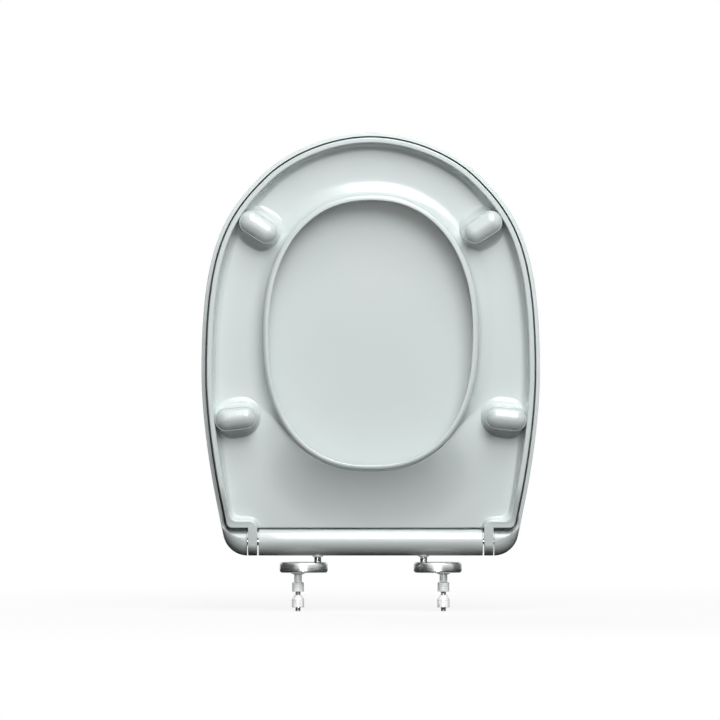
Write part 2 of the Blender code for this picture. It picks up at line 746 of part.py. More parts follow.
def post_body():
    """A hinge post: shank in the base plate, collarless body, snap groove and eased tip."""
    low = GASKET_THICKNESS + 2 * GAP
    step = ROSETTE_TOP - ROSETTE_WALL
    groove = AXIS_HEIGHT + GROOVE_REACH
    tip = AXIS_HEIGHT + POST_REACH
    profile = [
        (POST_SHANK_RADIUS, low),
        (POST_SHANK_RADIUS, step),
        (POST_RADIUS, step),
        (POST_RADIUS, groove),
        (GROOVE_RADIUS, groove),
        (GROOVE_RADIUS, groove + GROOVE_WIDTH),
        (POST_RADIUS, groove + GROOVE_WIDTH),
        (POST_RADIUS, tip - POST_TIP),
        (POST_RADIUS - POST_TIP, tip),
    ]
    return turned(profile, SMALL_SIDES)


def socket_body():
    """The sleeve in the bar that a post plugs into, with a groove inside for the snap spring."""
    bore = POST_RADIUS + GAP
    low = AXIS_HEIGHT - BAR_RADIUS - SOCKET_COLLAR
    top = AXIS_HEIGHT + SOCKET_REACH
    ceiling = AXIS_HEIGHT + POST_REACH + GAP
    middle = AXIS_HEIGHT + GROOVE_REACH + GROOVE_WIDTH / 2
    half = SPRING_THICKNESS / 2 + GAP
    profile = [
        (bore, ceiling),
        (bore, middle + half),
        (SPRING_RADIUS + GAP, middle + half),
        (SPRING_RADIUS + GAP, middle - half),
        (bore, middle - half),
        (bore, low),
        (SOCKET_RADIUS - SOCKET_EDGE, low),
        (SOCKET_RADIUS, low + SOCKET_EDGE),
        (SOCKET_RADIUS, top),
    ]
    return turned(profile, SMALL_SIDES)


def spring_body():
    """An open ring that snaps into the post's groove."""
    middle = AXIS_HEIGHT + GROOVE_REACH + GROOVE_WIDTH / 2
    low, high = middle - SPRING_THICKNESS / 2, middle + SPRING_THICKNESS / 2
    inner, outer = GROOVE_RADIUS + GAP, SPRING_RADIUS
    section = [(inner, low), (outer, low), (outer, high), (inner, high)]
    rings = []
    for k in range(SMALL_SIDES + 1):
        a = SPRING_ANGLE * k / SMALL_SIDES
        rings.append([Vector((r * math.cos(a), r * math.sin(a), z)) for r, z in section])
    return skin(rings)


def bolt_body():
    """A fixing bolt: six-sided head, round shank and chamfered tip."""
    top = ROSETTE_TOP - ROSETTE_WALL - 2 * GAP
    neck = top - BOLT_HEAD_HEIGHT
    head = [Vector(corner) for corner in circle(BOLT_HEAD_RADIUS, HEAD_SIDES)]
    corners = []
    for a, b in zip(head, head[1:] + head[:1]):
        corners += [a.lerp(b, n / HEAD_SIDE_STEPS) for n in range(HEAD_SIDE_STEPS)]
    count = len(corners)
    rings = [[Vector((x, y, z)) for x, y in corners] for z in (top, neck)]
    for radius, z in (
        (BOLT_RADIUS, neck),
        (BOLT_RADIUS, BOLT_TIP - BOLT_TIP_DEPTH),
        (BOLT_RADIUS - BOLT_TIP, -BOLT_TIP_DEPTH),
    ):
        rings.append([Vector((x, y, z)) for x, y in circle(radius, count)])
    return skin(rings)


def sleeve_between(outer, inner, low, high, top_outer=None):
    """A plain or tapered sleeve round the bolt."""
    wide = top_outer or outer
    return turned([(inner, low), (outer, low), (wide, high), (inner, high)], SMALL_SIDES, looped=True)


def nut_body():
    """The nut that draws its cone into the expanding sleeve."""
    bore = BOLT_RADIUS + GAP
    profile = [
        (bore, -NUT_DEPTH),
        (NUT_RADIUS - NUT_EDGE, -NUT_DEPTH),
        (NUT_RADIUS, NUT_EDGE - NUT_DEPTH),
        (NUT_RADIUS, -NUT_TOP_DEPTH - NUT_CONE_HEIGHT),
        (bore + NUT_NOSE_WALL, -NUT_TOP_DEPTH),
        (bore, -NUT_TOP_DEPTH),
    ]
    return turned(profile, SMALL_SIDES, looped=True)


# Assembly


def build_seat(pivot):
    ring = as_object("seat_ring", seat_body(), "gloss_plastic", pivot)
    boolean(ring, "DIFFERENCE", as_object("rear_relief", rear_relief(), parent=pivot))
    clearance = rod(BAR_RADIUS + BAR_CLEARANCE, -LID_HALF_WIDTH, LID_HALF_WIDTH, LARGE_SIDES)
    boolean(ring, "DIFFERENCE", as_object("bar_clearance", clearance, parent=pivot))
    for side, word in ((-1, "left"), (1, "right")):
        outline = ear_outline()
        ear = along_x([(EAR_INNER * side, outline), (EAR_OUTER * side, outline)])
        boolean(ring, "UNION", as_object(f"{word}_ear", ear, parent=pivot))
        reach = EAR_INNER - OVERRUN, EAR_OUTER + OVERRUN
        bore = rod(BUSH_RADIUS + GAP, reach[0] * side, reach[1] * side)
        boolean(ring, "DIFFERENCE", as_object(f"{word}_ear_bore", bore, parent=pivot))
        for name, curve, share in (("front", 1, FRONT_PAD_PLACE_SHARE), ("rear", 2, REAR_PAD_PLACE_SHARE)):
            place = Place(curve, share, side)
            label = f"{name}_{word}"
            boolean(ring, "UNION", as_object(f"{label}_mound", mound(place), parent=pivot))
            hole = round_hole(place, PEG_RADIUS + GAP, MOUND_TOP - OVERRUN, MOUND_TOP + PEG_LENGTH + GAP)
            boolean(ring, "DIFFERENCE", as_object(f"{label}_hole", hole, parent=pivot))
            as_object(f"{label}_pad", pad(place), "pad_rubber", pivot)


def build_lid(pivot):
    shell = as_object("lid_shell", lid_body(), "gloss_plastic", pivot)
    boolean(shell, "DIFFERENCE", as_object("bar_slot", bar_slot(), parent=pivot))
    for side, word in ((-1, "left"), (1, "right")):
        start, end = SHOULDER_INNER - OVERRUN, SHOULDER_INNER + SHOULDER_BORE_DEPTH
        bore = rod(BUSH_RADIUS + GAP, start * side, end * side)
        boolean(shell, "DIFFERENCE", as_object(f"{word}_shoulder_bore", bore, parent=pivot))
        place = Place(1, FRONT_PAD_PLACE_SHARE, side)
        top = LID_INNER - BUFFER_BOSS_HEIGHT
        boss = round_hole(place, BUFFER_RADIUS + BUFFER_BOSS_MARGIN, top, LID_INNER + LID_WALL / 2)
        boolean(shell, "UNION", as_object(f"{word}_buffer_boss", boss, parent=pivot))
        hole = round_hole(place, BUFFER_PEG_RADIUS + GAP, top - OVERRUN, top + BUFFER_PEG_LENGTH + GAP)
        boolean(shell, "DIFFERENCE", as_object(f"{word}_buffer_hole", hole, parent=pivot))
        as_object(f"{word}_lid_buffer", lid_buffer(place), "pad_rubber", pivot)


def build_hinge(bar_pivot, seat_pivot, lid_pivot):
    bar = as_object("hinge_bar", bar_body(), "bar_plastic", bar_pivot)
    round_bore = circle(SHAFT_RADIUS + GAP, SMALL_SIDES)
    keyed_bore = double_flat(SHAFT_RADIUS + GAP, SHAFT_FLAT + GAP, SMALL_SIDES)
    spigot_bore = circle(SPIGOT_RADIUS + GAP, SMALL_SIDES)
    for side, word in ((-1, "left"), (1, "right")):
        for_lid = side < 0
        outer = BAR_HALF_LENGTH - DAMPER_INSET
        slot_end, key_end = (outer - KEY_LENGTH - GAP) * side, (outer - KEY_LENGTH) * side
        top = BAR_BORE_RADIUS + KEY_HEIGHT
        slot = upright_bar(KEY_WIDTH + 2 * GAP, slot_end, (outer + OVERRUN) * side, 0.0, top)
        boolean(bar, "DIFFERENCE", as_object(f"{word}_keyway", slot, parent=bar_pivot))
        damper = as_object(f"{word}_damper", damper_body(side), "damper_plastic", bar_pivot)
        key = upright_bar(KEY_WIDTH, key_end, (outer - BAR_EDGE) * side, BAR_BORE_RADIUS / 2, top - GAP)
        boolean(damper, "UNION", as_object(f"{word}_key", key, parent=bar_pivot))
        name, owner = ("lid_shaft", lid_pivot) if for_lid else ("seat_shaft", seat_pivot)
        as_object(name, shaft(side, for_lid), "bright_steel", owner)
        ear_bore = round_bore if for_lid else keyed_bore
        ear_bush = bush(side, EAR_INNER + GAP, EAR_OUTER - GAP, ear_bore)
        as_object(f"{word}_seat_bush", ear_bush, "bush_plastic", seat_pivot)
        shoulder_bore = keyed_bore if for_lid else spigot_bore
        last = SHOULDER_INNER + SHOULDER_BORE_DEPTH - GAP
        shoulder_bush = bush(side, SHOULDER_INNER + GAP, last, shoulder_bore)
        as_object(f"{word}_lid_bush", shoulder_bush, "bush_plastic", lid_pivot)
    return bar


def build_fixing(side, word, bar, bar_pivot):
    """One side's post, cover disc and bolt with its washers, sleeve and nut."""
    bolt_x = HOLE_SPACING / 2 * side
    disc_x = bolt_x - ROSETTE_OFFSET * side
    post_x = bolt_x - POST_OFFSET * side
    base_low, base_top = GASKET_THICKNESS + GAP, ROSETTE_TOP - ROSETTE_WALL - GAP
    at_bolt, at_post = (bolt_x - disc_x, 0.0), (post_x - disc_x, 0.0)

    bore_top = AXIS_HEIGHT + SOCKET_REACH + GAP
    bore = column(SOCKET_RADIUS + GAP, -OVERRUN, bore_top)
    cross = as_object(f"{word}_post_bore", bore, place=(post_x, 0, 0))
    boolean(bar, "DIFFERENCE", cross)
    as_object(f"{word}_post_socket", socket_body(), "fixing_plastic", place=(post_x, 0, 0))
    as_object(f"{word}_snap_spring", spring_body(), "spring_steel", place=(post_x, 0, 0))
    as_object(f"{word}_hinge_post", post_body(), "bright_steel", place=(post_x, 0, 0))

    at = (disc_x, 0, 0)
    rosette = as_object(f"{word}_rosette", rosette_body(), "satin_steel", place=at)
    hole = column(POST_RADIUS + GAP, 0.0, ROSETTE_TOP + OVERRUN, at_post)
    boolean(rosette, "DIFFERENCE", as_object(f"{word}_rosette_hole", hole, place=at))

    base = column(ROSETTE_RADIUS - ROSETTE_WALL - GAP, base_low, base_top, sides=LARGE_SIDES)
    plate = as_object(f"{word}_base_plate", base, "fixing_plastic", place=at)
    shank = column(POST_SHANK_RADIUS + GAP, 0.0, ROSETTE_TOP, at_post)
    boolean(plate, "DIFFERENCE", as_object(f"{word}_shank_hole", shank, place=at))
    passage = column(BOLT_RADIUS + GAP, 0.0, ROSETTE_TOP, at_bolt)
    boolean(plate, "DIFFERENCE", as_object(f"{word}_bolt_passage", passage, place=at))
    pocket_floor = base_top - GAP - BOLT_HEAD_HEIGHT - GAP
    pocket = column(BOLT_HEAD_RADIUS + GAP, pocket_floor, ROSETTE_TOP, at_bolt, HEAD_SIDES)
    boolean(plate, "DIFFERENCE", as_object(f"{word}_head_pocket", pocket, place=at))

    disc = column(GASKET_RADIUS, 0.0, GASKET_THICKNESS - GAP, sides=LARGE_SIDES)
    gasket = as_object(f"{word}_gasket", disc, "gasket_rubber", place=at)
    ring_hole = column(CONE_TOP_RADIUS + GAP, -OVERRUN, OVERRUN, at_bolt)
    boolean(gasket, "DIFFERENCE", as_object(f"{word}_gasket_hole", ring_hole, place=at))

    at = (bolt_x, 0, 0)
    bore = BOLT_RADIUS + GAP
    as_object(f"{word}_fixing_bolt", bolt_body(), "bright_steel", place=at)
    cone = sleeve_between(SPACER_RADIUS, bore, -CONE_DEPTH, GASKET_THICKNESS, CONE_TOP_RADIUS)
    as_object(f"{word}_cone_washer", cone, "fixing_plastic", place=at)
    spacer = sleeve_between(SPACER_RADIUS, bore, -SPACER_DEPTH, -CONE_DEPTH - GAP)
    as_object(f"{word}_spacer_sleeve", spacer, "fixing_plastic", place=at)
    grip = sleeve_between(SLEEVE_RADIUS, bore, -SLEEVE_DEPTH, -SPACER_DEPTH - GAP)
    as_object(f"{word}_expansion_sleeve", grip, "sleeve_rubber", place=at)
    as_object(f"{word}_cone_nut", nut_body(), "fixing_plastic", place=at)


def main():
    axis = (0, 0, AXIS_HEIGHT)
    bar_pivot, seat_pivot, lid_pivot = (empty(f"{name}_pivot", axis) for name in ("bar", "seat", "lid"))
    build_seat(seat_pivot)
    build_lid(lid_pivot)
    bar = build_hinge(bar_pivot, seat_pivot, lid_pivot)
    for side, word in ((-1, "left"), (1, "right")):
        build_fixing(side, word, bar, bar_pivot)


main()
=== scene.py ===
"""Soft-close toilet seat, raised, in studio light.

Metres, +Z up. Heights through seat and lid run along Y from the hinge axis and reaches along Z from it,
so a point of either is (x, height, AXIS_HEIGHT + reach). The camera looks along +Y at the undersides.
"""

import math

import bmesh
import bpy
import numpy as np
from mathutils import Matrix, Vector


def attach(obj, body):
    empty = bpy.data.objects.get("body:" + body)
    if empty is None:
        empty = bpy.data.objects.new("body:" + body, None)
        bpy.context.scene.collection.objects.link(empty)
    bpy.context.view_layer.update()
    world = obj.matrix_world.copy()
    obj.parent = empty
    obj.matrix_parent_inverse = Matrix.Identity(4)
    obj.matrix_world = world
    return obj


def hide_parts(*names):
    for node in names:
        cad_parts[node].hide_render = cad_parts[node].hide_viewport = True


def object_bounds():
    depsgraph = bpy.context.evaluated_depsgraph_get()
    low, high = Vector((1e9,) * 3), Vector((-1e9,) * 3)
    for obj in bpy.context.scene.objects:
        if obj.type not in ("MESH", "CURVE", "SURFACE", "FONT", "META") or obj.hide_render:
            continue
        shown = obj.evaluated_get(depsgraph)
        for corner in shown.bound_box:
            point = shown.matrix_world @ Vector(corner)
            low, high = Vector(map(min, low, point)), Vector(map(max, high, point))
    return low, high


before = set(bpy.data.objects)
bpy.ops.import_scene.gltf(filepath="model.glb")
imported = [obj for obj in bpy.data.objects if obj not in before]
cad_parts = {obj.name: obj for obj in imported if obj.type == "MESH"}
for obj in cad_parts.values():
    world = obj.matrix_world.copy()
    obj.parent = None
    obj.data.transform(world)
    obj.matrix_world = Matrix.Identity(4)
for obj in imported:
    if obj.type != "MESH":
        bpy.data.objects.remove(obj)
cad_box = [list(corner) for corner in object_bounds()]

MM = 0.001
SIDES = ((-1, "left"), (1, "right"))

# Camera, level and far away as in the photograph
VIEW_CENTRE = (-11.4 * MM, 226.4 * MM)
VIEW_WIDTH = 767.3 * MM
VIEW_DISTANCE = 8.0
SENSOR_WIDTH = 36.0

# Light and surroundings
WHITE = (1.0, 1.0, 1.0, 1.0)
LAMP_AIM = (0.0, 0.0, 0.2)
SKY_STRENGTH = 0.05
FLOOR_HALF_SIDE = 8.0
FLOOR_NOISE = 2.0
FLOOR_TONES = (0.87, 0.9)
FLOOR_ROUGHNESS = 0.9
FLOOR_GLOW = 0.88
FLOOR_NEAR = 0.3
FLOOR_FAR = 1.1
CARD_LIFT = 0.5 * MM
CARD_TOP = 1.1
CARD_NOISE = 4.0
CARD_DARKEST = 0.9

# Finishes
NOISE_LOW = 0.3
NOISE_HIGH = 0.7
COLOUR_NOISE = 11.0
GLOSS_NOISE = 46.0
GRAIN_NOISE = 900.0
GRAIN_HEIGHT = 0.1 * MM
PLASTIC_IOR = 1.53
COAT_ROUGHNESS = 0.16
STEEL_NOISE = 420.0
STEEL_DARKEST = 0.86
STEEL_MARKS = 0.08
BRUSHED_MARKS = 0.3
STEEL_MARK_HEIGHT = 0.04 * MM
# Upward shares of the normal over which shade is painted on level steel faces
TOP_SHADE_FROM = 0.8
TOP_SHADE_TO = 0.98

# Mesh making
SHARP_ANGLE = math.radians(40.0)
EDGE_STEPS = 5
CUTTER_EXTRA = 3.0 * MM
CORE_RADIUS = 0.1 * MM

# Hinge
AXIS_HEIGHT = 33.0 * MM
BAR_RADIUS = 15.0 * MM
BAR_HALF_LENGTH = 119.4 * MM
BAR_CLEARANCE = 17.0 * MM
BAR_SWEEP = 16.5 * MM
BUSH_HOLE_RADIUS = 7.0 * MM
EAR_INNER = 120.8 * MM
EAR_OUTER = 130.6 * MM
EAR_ROUND_REACH = 3.0 * MM
SHOULDER_INNER = 131.6 * MM
SHOULDER_BORE_DEPTH = 16.4 * MM

# Edge of the lid seen square on
LID_HALF_WIDTH = 180.1 * MM
LID_REACH = 435.6 * MM
WIDEST_REACH = 180.6 * MM
TAPER_REACH = 45.0 * MM
TAPER_HALF_WIDTH = 164.6 * MM
TAPER_ANGLE = math.radians(11.3)
LID_CORNER_RADIUS = 26.0 * MM
FRONT_CURVE_SHARES = ((0.0, 1.0), (0.25, 1.0), (0.499, 0.92), (0.635, 0.827))
SIDE_CURVE_SHARES = ((0.635, 0.827), (0.882, 0.659), (1.0, 0.504), (1.0, 0.0))
REAR_HANDLE_SHARES = (0.32, 0.28)
FRONT_STEPS = 56
SIDE_STEPS = 60
REAR_STEPS = 36
TAPER_STEPS = 16
CORNER_STEPS = 16

# Lid section
LID_SKIRT_DEPTH = 12.0 * MM
LID_SKIRT_THICKNESS = 3.8 * MM
LID_REAR_SKIRT_DEPTH = 6.5 * MM
LID_REAR_BLEND = 13.0 * MM
LID_CROWN = 2.0 * MM
LID_ROUND_WIDTH = 16.0 * MM
LID_ROUND_DROP = 11.0 * MM
LID_FILLET = 7.0 * MM
LID_EDGE = 0.8 * MM
LID_TOP = 15.0 * MM
LID_INNER = 9.5 * MM
LID_HOLLOW_CORNER = 1.5 * MM
LID_REAR_PLACES = 40
LID_ROUND_STEPS = 14
LID_EDGE_STEPS = 10
LID_FILLET_STEPS = 8
CROWN_LAST_STEP = 0.3
SLOT_FLARE = math.radians(57.0)
SHOULDER_FRONT_REACH = 15.0 * MM
SHOULDER_REAR_REACH = -5.0 * MM
SHOULDER_POWER = 1.5

# Seat ring section
SEAT_INSET = 5.9 * MM
SEAT_REAR = 14.6 * MM
SEAT_CORNER_RADIUS = 5.5 * MM
CORNER_GROWTH_SHARE = 0.6
SEAT_TOP = -1.0 * MM
SEAT_CROWN = 1.5 * MM
FLOOR_DEPTH = 7.0 * MM
RIM_DEPTH = 26.5 * MM
RIM_WIDTH = 5.3 * MM
RIM_EDGE = 1.0 * MM
REAR_RIM_DEPTH = 19.5 * MM
REAR_RIM_EDGE = 2.4 * MM
REAR_RIM_FROM = 58.0 * MM
REAR_RIM_TO = 18.0 * MM
RIM_WALL_LEAN = 1.2 * MM
RIM_WALL_LEAST = 1.0 * MM
RIM_SIDE_ROWS = 6
VALLEY_FILLET = 8.0 * MM
RIM_BLOCK = 16.0 * MM
RIM_BLOCK_ROWS = 40
SEAT_ROUND_WIDTH = 12.0 * MM
SEAT_ROUND_DROP = 6.0 * MM
OPENING_ROUND_WIDTH = 14.0 * MM
OPENING_ROUND_DROP = 9.0 * MM
TOP_ROUND_STEPS = 10
SEAT_TOP_ROWS = 8
LIP_DEPTH = 20.0 * MM
LIP_EDGE = 1.0 * MM
LIP_CREST = 2.4 * MM
LIP_WIDTH = 6.4 * MM
LIP_CREST_STEPS = 9
INNER_WALL_WIDTH = 18.0 * MM
INNER_WALL_STEPS = 16
VALLEY_ROWS = 14
REAR_LIP_RISE = 5.0 * MM
RAMP_START = 24.0 * MM
RAMP_END = 10.4 * MM
RAMP_POWER = 2.4
RAMP_LENGTH = 68.0 * MM
RAMP_FULL = math.radians(22.0)
RAMP_NONE = math.radians(60.0)
EAR_EDGE = 0.8 * MM
EAR_JOINT_REACH = 3.5 * MM
EAR_LAND_STEP = 0.02 * MM
EAR_END_STEPS = 24
EAR_TURN_RADIUS = 8.5 * MM
EAR_LAND_REACH = 23.4 * MM
EAR_LAND_BLEND = 9.0 * MM
EAR_PLACES = 90
MIDDLE_REACH = 106.0 * MM
MIDDLE_PLACES = 30

# Opening in the seat
OPENING_HALF_WIDTH = 108.5 * MM
OPENING_HALF_LENGTH = 140.7 * MM
OPENING_REACH = 222.3 * MM
OPENING_FRONT_POWER = 2.24
OPENING_REAR_POWER = 2.39

# Pads and mounds
PAD_INSET = 33.5 * MM
PAD_RADIUS = 12.2 * MM
PAD_LENGTH = 44.0 * MM
PAD_SEAT = 26.1 * MM
PAD_FLANGE = 1.1 * MM
PAD_FLANGE_WIDTH = 0.9 * MM
PAD_FLANGE_EDGE = 0.3 * MM
PAD_FOOT = 33.0 * MM
PAD_DOME_RADIUS = 14.2 * MM
PAD_TIP_SHARE = 0.999
PEG_RADIUS = 4.0 * MM
PEG_LENGTH = 6.0 * MM
MOUND_TOP = 25.8 * MM
MOUND_EDGE = 0.7 * MM
MOUND_MARGIN = -0.5 * MM
MOUND_FLARE = 12.4 * MM
MOUND_OUTER_FLARE = 2.2 * MM
MOUND_INNER_FLARE = 8.0 * MM
MOUND_FOOT = 6.9 * MM
MOUND_POWER = 2.0
MOUND_MIDDLE_SHARE = 0.3
FRONT_PAD_PLACE_SHARE = 0.292
REAR_PAD_PLACE_SHARE = 0.381

# Bar, sockets and posts
BAR_BORE_RADIUS = 10.0 * MM
BAR_EDGE = 0.8 * MM
BAR_RING_SHARES = (0.75, 0.5, 0.25, 0.0)
KEY_SLOT_WIDTH = 3.6 * MM
KEY_SLOT_LENGTH = 40.6 * MM
SOCKET_RADIUS = 5.7 * MM
SOCKET_LOW = 16.8 * MM
SOCKET_TOP = 43.2 * MM
POST_RADIUS = 3.7 * MM
POST_SHANK_RADIUS = 2.7 * MM
POST_TOP = 40.6 * MM
POST_TIP = 1.2 * MM
GROOVE_RADIUS = 2.9 * MM
GROOVE_LOW = 34.5 * MM
GROOVE_HIGH = 36.1 * MM
GAP = 0.3 * MM
KEY_SLOT_DEPTH = 4 * GAP

# Bowl fixings
BOLT_X = 77.5 * MM
DISC_X = 71.4 * MM
POST_X = 56.4 * MM
DISC_RADIUS = 25.6 * MM
DISC_LOW = 1.2 * MM
DISC_TOP = 10.9 * MM
DISC_WALL = 1.2 * MM
DISC_BEVEL = 1.4 * MM
DISC_SIDES = 128
WIDE_SOFTENING = 0.7 * MM
SOFTENING = 0.4 * MM
BOLT_RADIUS = 2.9 * MM
BOLT_TIP_DEPTH = 41.5 * MM
THREAD_PITCH = 1.25 * MM
THREAD_DEPTH = 0.45 * MM
THREAD_START = 8.0 * MM
THREAD_STEPS = 8
THREAD_SIDES = 32
THREAD_SHARPNESS = 0.8
BOLT_TIP = 0.9 * MM
FIXING_BORE = BOLT_RADIUS + GAP
CONE_TOP_RADIUS = 9.2 * MM
CONE_DEPTH = 2.2 * MM
CONE_FOOT_WIDTH = 0.4 * MM
CONE_RIM_HEIGHT = 1.0 * MM
SPACER_RADIUS = 4.15 * MM
SPACER_DEPTH = 10.2 * MM
SPACER_SOFTENING = 0.25 * MM
SLEEVE_RADIUS = 6.35 * MM
SLEEVE_DEPTH = 20.3 * MM
SLEEVE_RIBS = 5
SLEEVE_RIB_DEPTH = 0.22 * MM
SLEEVE_ROWS = 60
SLEEVE_END = 0.5 * MM
SLEEVE_END_SHARE = 1 / 24
NUT_TOP_DEPTH = 23.8 * MM
NUT_CONE_HEIGHT = 4.5 * MM
NUT_RADIUS = 6.5 * MM
NUT_DEPTH = 37.1 * MM
NUT_SIDES = 96
NUT_TOP_WIDTH = 0.6 * MM
NUT_SOFTENING = 0.45 * MM
NUT_SIDE_MARGIN = 1.5 * MM
NUT_SIDE_ROWS = 12
NUT_FLUTES = 12
NUT_FLUTE_DEPTH = 0.3 * MM
NUT_FLUTE_RUNOUT = 1.0 * MM
NUT_FLUTE_FOOT = 2.0 * MM
NUT_FLUTE_RADIUS = 3.9 * MM
HEAD_RADIUS = 5.6 * MM
HEAD_HEIGHT = 4.0 * MM
HEAD_TOP = 9.1 * MM
HEAD_BEVEL_WIDTH = 0.8 * MM
HEAD_BEVEL_HEIGHT = 0.5 * MM
HEAD_OVERLAP = 0.1 * MM


def quarter(steps):
    """Sine and cosine pairs over a quarter turn."""
    for k in range(steps + 1):
        angle = math.pi / 2 * k / steps
        yield math.sin(angle), math.cos(angle)


# Meshes from rows of points


def loft(name, rows, closed):
    """An object through rows of equal count, each a closed loop; the rows close too, or end in fans."""
    count = len(rows[0])
    points = np.concatenate(rows)
    here = np.arange(count)
    after = (here + 1) % count
    faces = []
    total = len(rows)
    for k in range(total if closed else total - 1):
        low, high = k * count, (k + 1) % total * count
        faces.append(np.stack([low + here, low + after, high + after, high + here], axis=1))
    faces = [tuple(face) for face in np.concatenate(faces).tolist()]
    points = points.tolist()
    if not closed:
        for row, start in ((rows[0], 0), (rows[-1], (total - 1) * count)):
            points.append(row.mean(axis=0).tolist())
            faces += [(start + int(a), start + int(b), len(points) - 1) for a, b in zip(here, after)]
    return from_faces(name, points, faces)


def from_faces(name, points, faces):
    mesh = bpy.data.meshes.new(name)
    mesh.from_pydata(points, [], faces)
    bm = bmesh.new()
    bm.from_mesh(mesh)
    bmesh.ops.recalc_face_normals(bm, faces=bm.faces)
    bm.to_mesh(mesh)
    bm.free()
    return smooth_object(name, mesh)


def shown(name, data):
    made = bpy.data.objects.new(name, data)
    bpy.context.collection.objects.link(made)
    return made


def smooth_object(name, mesh):
    made = shown(name, mesh)
    smooth(made)
    return made


def smooth(piece):
    piece.data.shade_smooth()
    piece.data.set_sharp_from_angle(angle=SHARP_ANGLE)


def mirrored(right):
    """A closed loop of points from its right half, (n, 3)."""
    left = right[-2:0:-1] * np.array([-1.0, 1.0, 1.0])
    return np.concatenate([right, left])


def placed(half, height):
    """World points from (x, reach) pairs and their heights."""
    heights = np.broadcast_to(height, len(half))
    return np.stack([half[:, 0], heights, half[:, 1] + AXIS_HEIGHT], axis=1)


def cut(piece, cutters):
    """Takes the cutters' shapes out of a piece."""
    for cutter in cutters:
        step = piece.modifiers.new("cut", "BOOLEAN")
        step.operation = "DIFFERENCE"
        step.solver = "EXACT"
        step.object = cutter
    bpy.context.view_layer.update()
    result = piece.evaluated_get(bpy.context.evaluated_depsgraph_get())
    solid = bpy.data.meshes.new_from_object(result)
    piece.modifiers.clear()
    piece.data = solid
    for cutter in cutters:
        bpy.data.objects.remove(cutter, do_unlink=True)
    smooth(piece)


def prism_along_x(name, outline, low, high):
    """A prism from (height, reach) points."""
    loops = [[(x, y, z + AXIS_HEIGHT) for y, z in outline] for x in (low, high)]
    count = len(outline)
    faces = [(k, (k + 1) % count, count + (k + 1) % count, count + k) for k in range(count)]
    faces += [tuple(range(count)), tuple(range(2 * count - 1, count - 1, -1))]
    return from_faces(name, loops[0] + loops[1], faces)


# Edge of the lid and every edge inside it


def bezier(points, shares):
    """Points and inward normals on a cubic curve that runs from the front tip backwards on the right."""
    a, b, c, d = (np.array(point) for point in points)
    t = np.asarray(shares)[:, None]
    s = 1 - t
    place = a * s**3 + b * (3 * s * s * t) + c * (3 * s * t * t) + d * t**3
    run = (b - a) * s * s + (c - b) * (2 * s * t) + (d - c) * t * t
    run = run / np.linalg.norm(run, axis=1, keepdims=True)
    return place, np.stack([run[:, 1], -run[:, 0]], axis=1)


def edge_curves():
    """The three curves of the lid's edge: front, side and rear."""
    reach = LID_REACH - WIDEST_REACH
    front, side = (
        [(x * LID_HALF_WIDTH, WIDEST_REACH + y * reach) for x, y in shares]
        for shares in (FRONT_CURVE_SHARES, SIDE_CURVE_SHARES)
    )
    first, last = (share * (WIDEST_REACH - TAPER_REACH) for share in REAR_HANDLE_SHARES)
    taper = (math.sin(TAPER_ANGLE), math.cos(TAPER_ANGLE))
    rear = [
        (LID_HALF_WIDTH, WIDEST_REACH),
        (LID_HALF_WIDTH, WIDEST_REACH - first),
        (TAPER_HALF_WIDTH + taper[0] * last, TAPER_REACH + taper[1] * last),
        (TAPER_HALF_WIDTH, TAPER_REACH),
    ]
    return front, side, rear


def edge_points():
    """Points and inward normals from the front tip to the start of the straight taper."""
    found = [
        bezier(curve, np.arange(steps) / steps)
        for curve, steps in zip(edge_curves(), (FRONT_STEPS, SIDE_STEPS, REAR_STEPS))
    ]
    found.append(bezier(edge_curves()[-1], [1.0]))
    return np.concatenate([a for a, b in found]), np.concatenate([b for a, b in found])


EDGE, EDGE_INWARD = edge_points()


def half_edge(inset, rear, radius, places):
    """Right half of an edge inside the lid's, with a round corner; places(x) gives the rear's points."""
    points = EDGE + EDGE_INWARD * inset
    back = -np.array([math.sin(TAPER_ANGLE), math.cos(TAPER_ANGLE)])
    corner = points[-1] + back * ((points[-1][1] - rear) / -back[1])
    turn = math.pi / 2 - TAPER_ANGLE
    start = corner - back * (radius * math.tan(turn / 2))
    centre = start + EDGE_INWARD[-1] * radius
    shares = (np.arange(1, TAPER_STEPS) / TAPER_STEPS)[:, None]
    taper = points[-1] + (start - points[-1]) * shares
    angles = -TAPER_ANGLE - turn * np.arange(CORNER_STEPS + 1) / CORNER_STEPS
    arc = centre + np.stack([np.cos(angles), np.sin(angles)], axis=1) * radius
    xs = places(arc[-1][0])
    line = np.stack([xs, np.full(len(xs), rear)], axis=1)
    return np.concatenate([points, taper, arc, line])


def egg(half, outset):
    """Points on the seat's opening in the directions of given points from its middle, moved outwards."""
    angles = np.arctan2(half[:, 0], half[:, 1] - OPENING_REACH)
    s, c = np.sin(angles), np.cos(angles)
    power = np.where(c > 0, OPENING_FRONT_POWER, OPENING_REAR_POWER)
    u, v = np.abs(s) / OPENING_HALF_WIDTH, np.abs(c) / OPENING_HALF_LENGTH
    radius = (u**power + v**power) ** (-1 / power)
    across = np.copysign(u ** (power - 1) / OPENING_HALF_WIDTH, s)
    along = np.copysign(v ** (power - 1) / OPENING_HALF_LENGTH, c)
    normal = np.stack([across, along], axis=1)
    normal = normal / np.linalg.norm(normal, axis=1, keepdims=True)
    return np.stack([radius * s, OPENING_REACH + radius * c], axis=1) + normal * outset


# Lid


def lid_places(start):
    return start * np.arange(LID_REAR_PLACES - 1, -1, -1) / LID_REAR_PLACES


def lid_outline(depth):
    return half_edge(depth, depth - BAR_RADIUS, LID_CORNER_RADIUS - depth, lid_places)


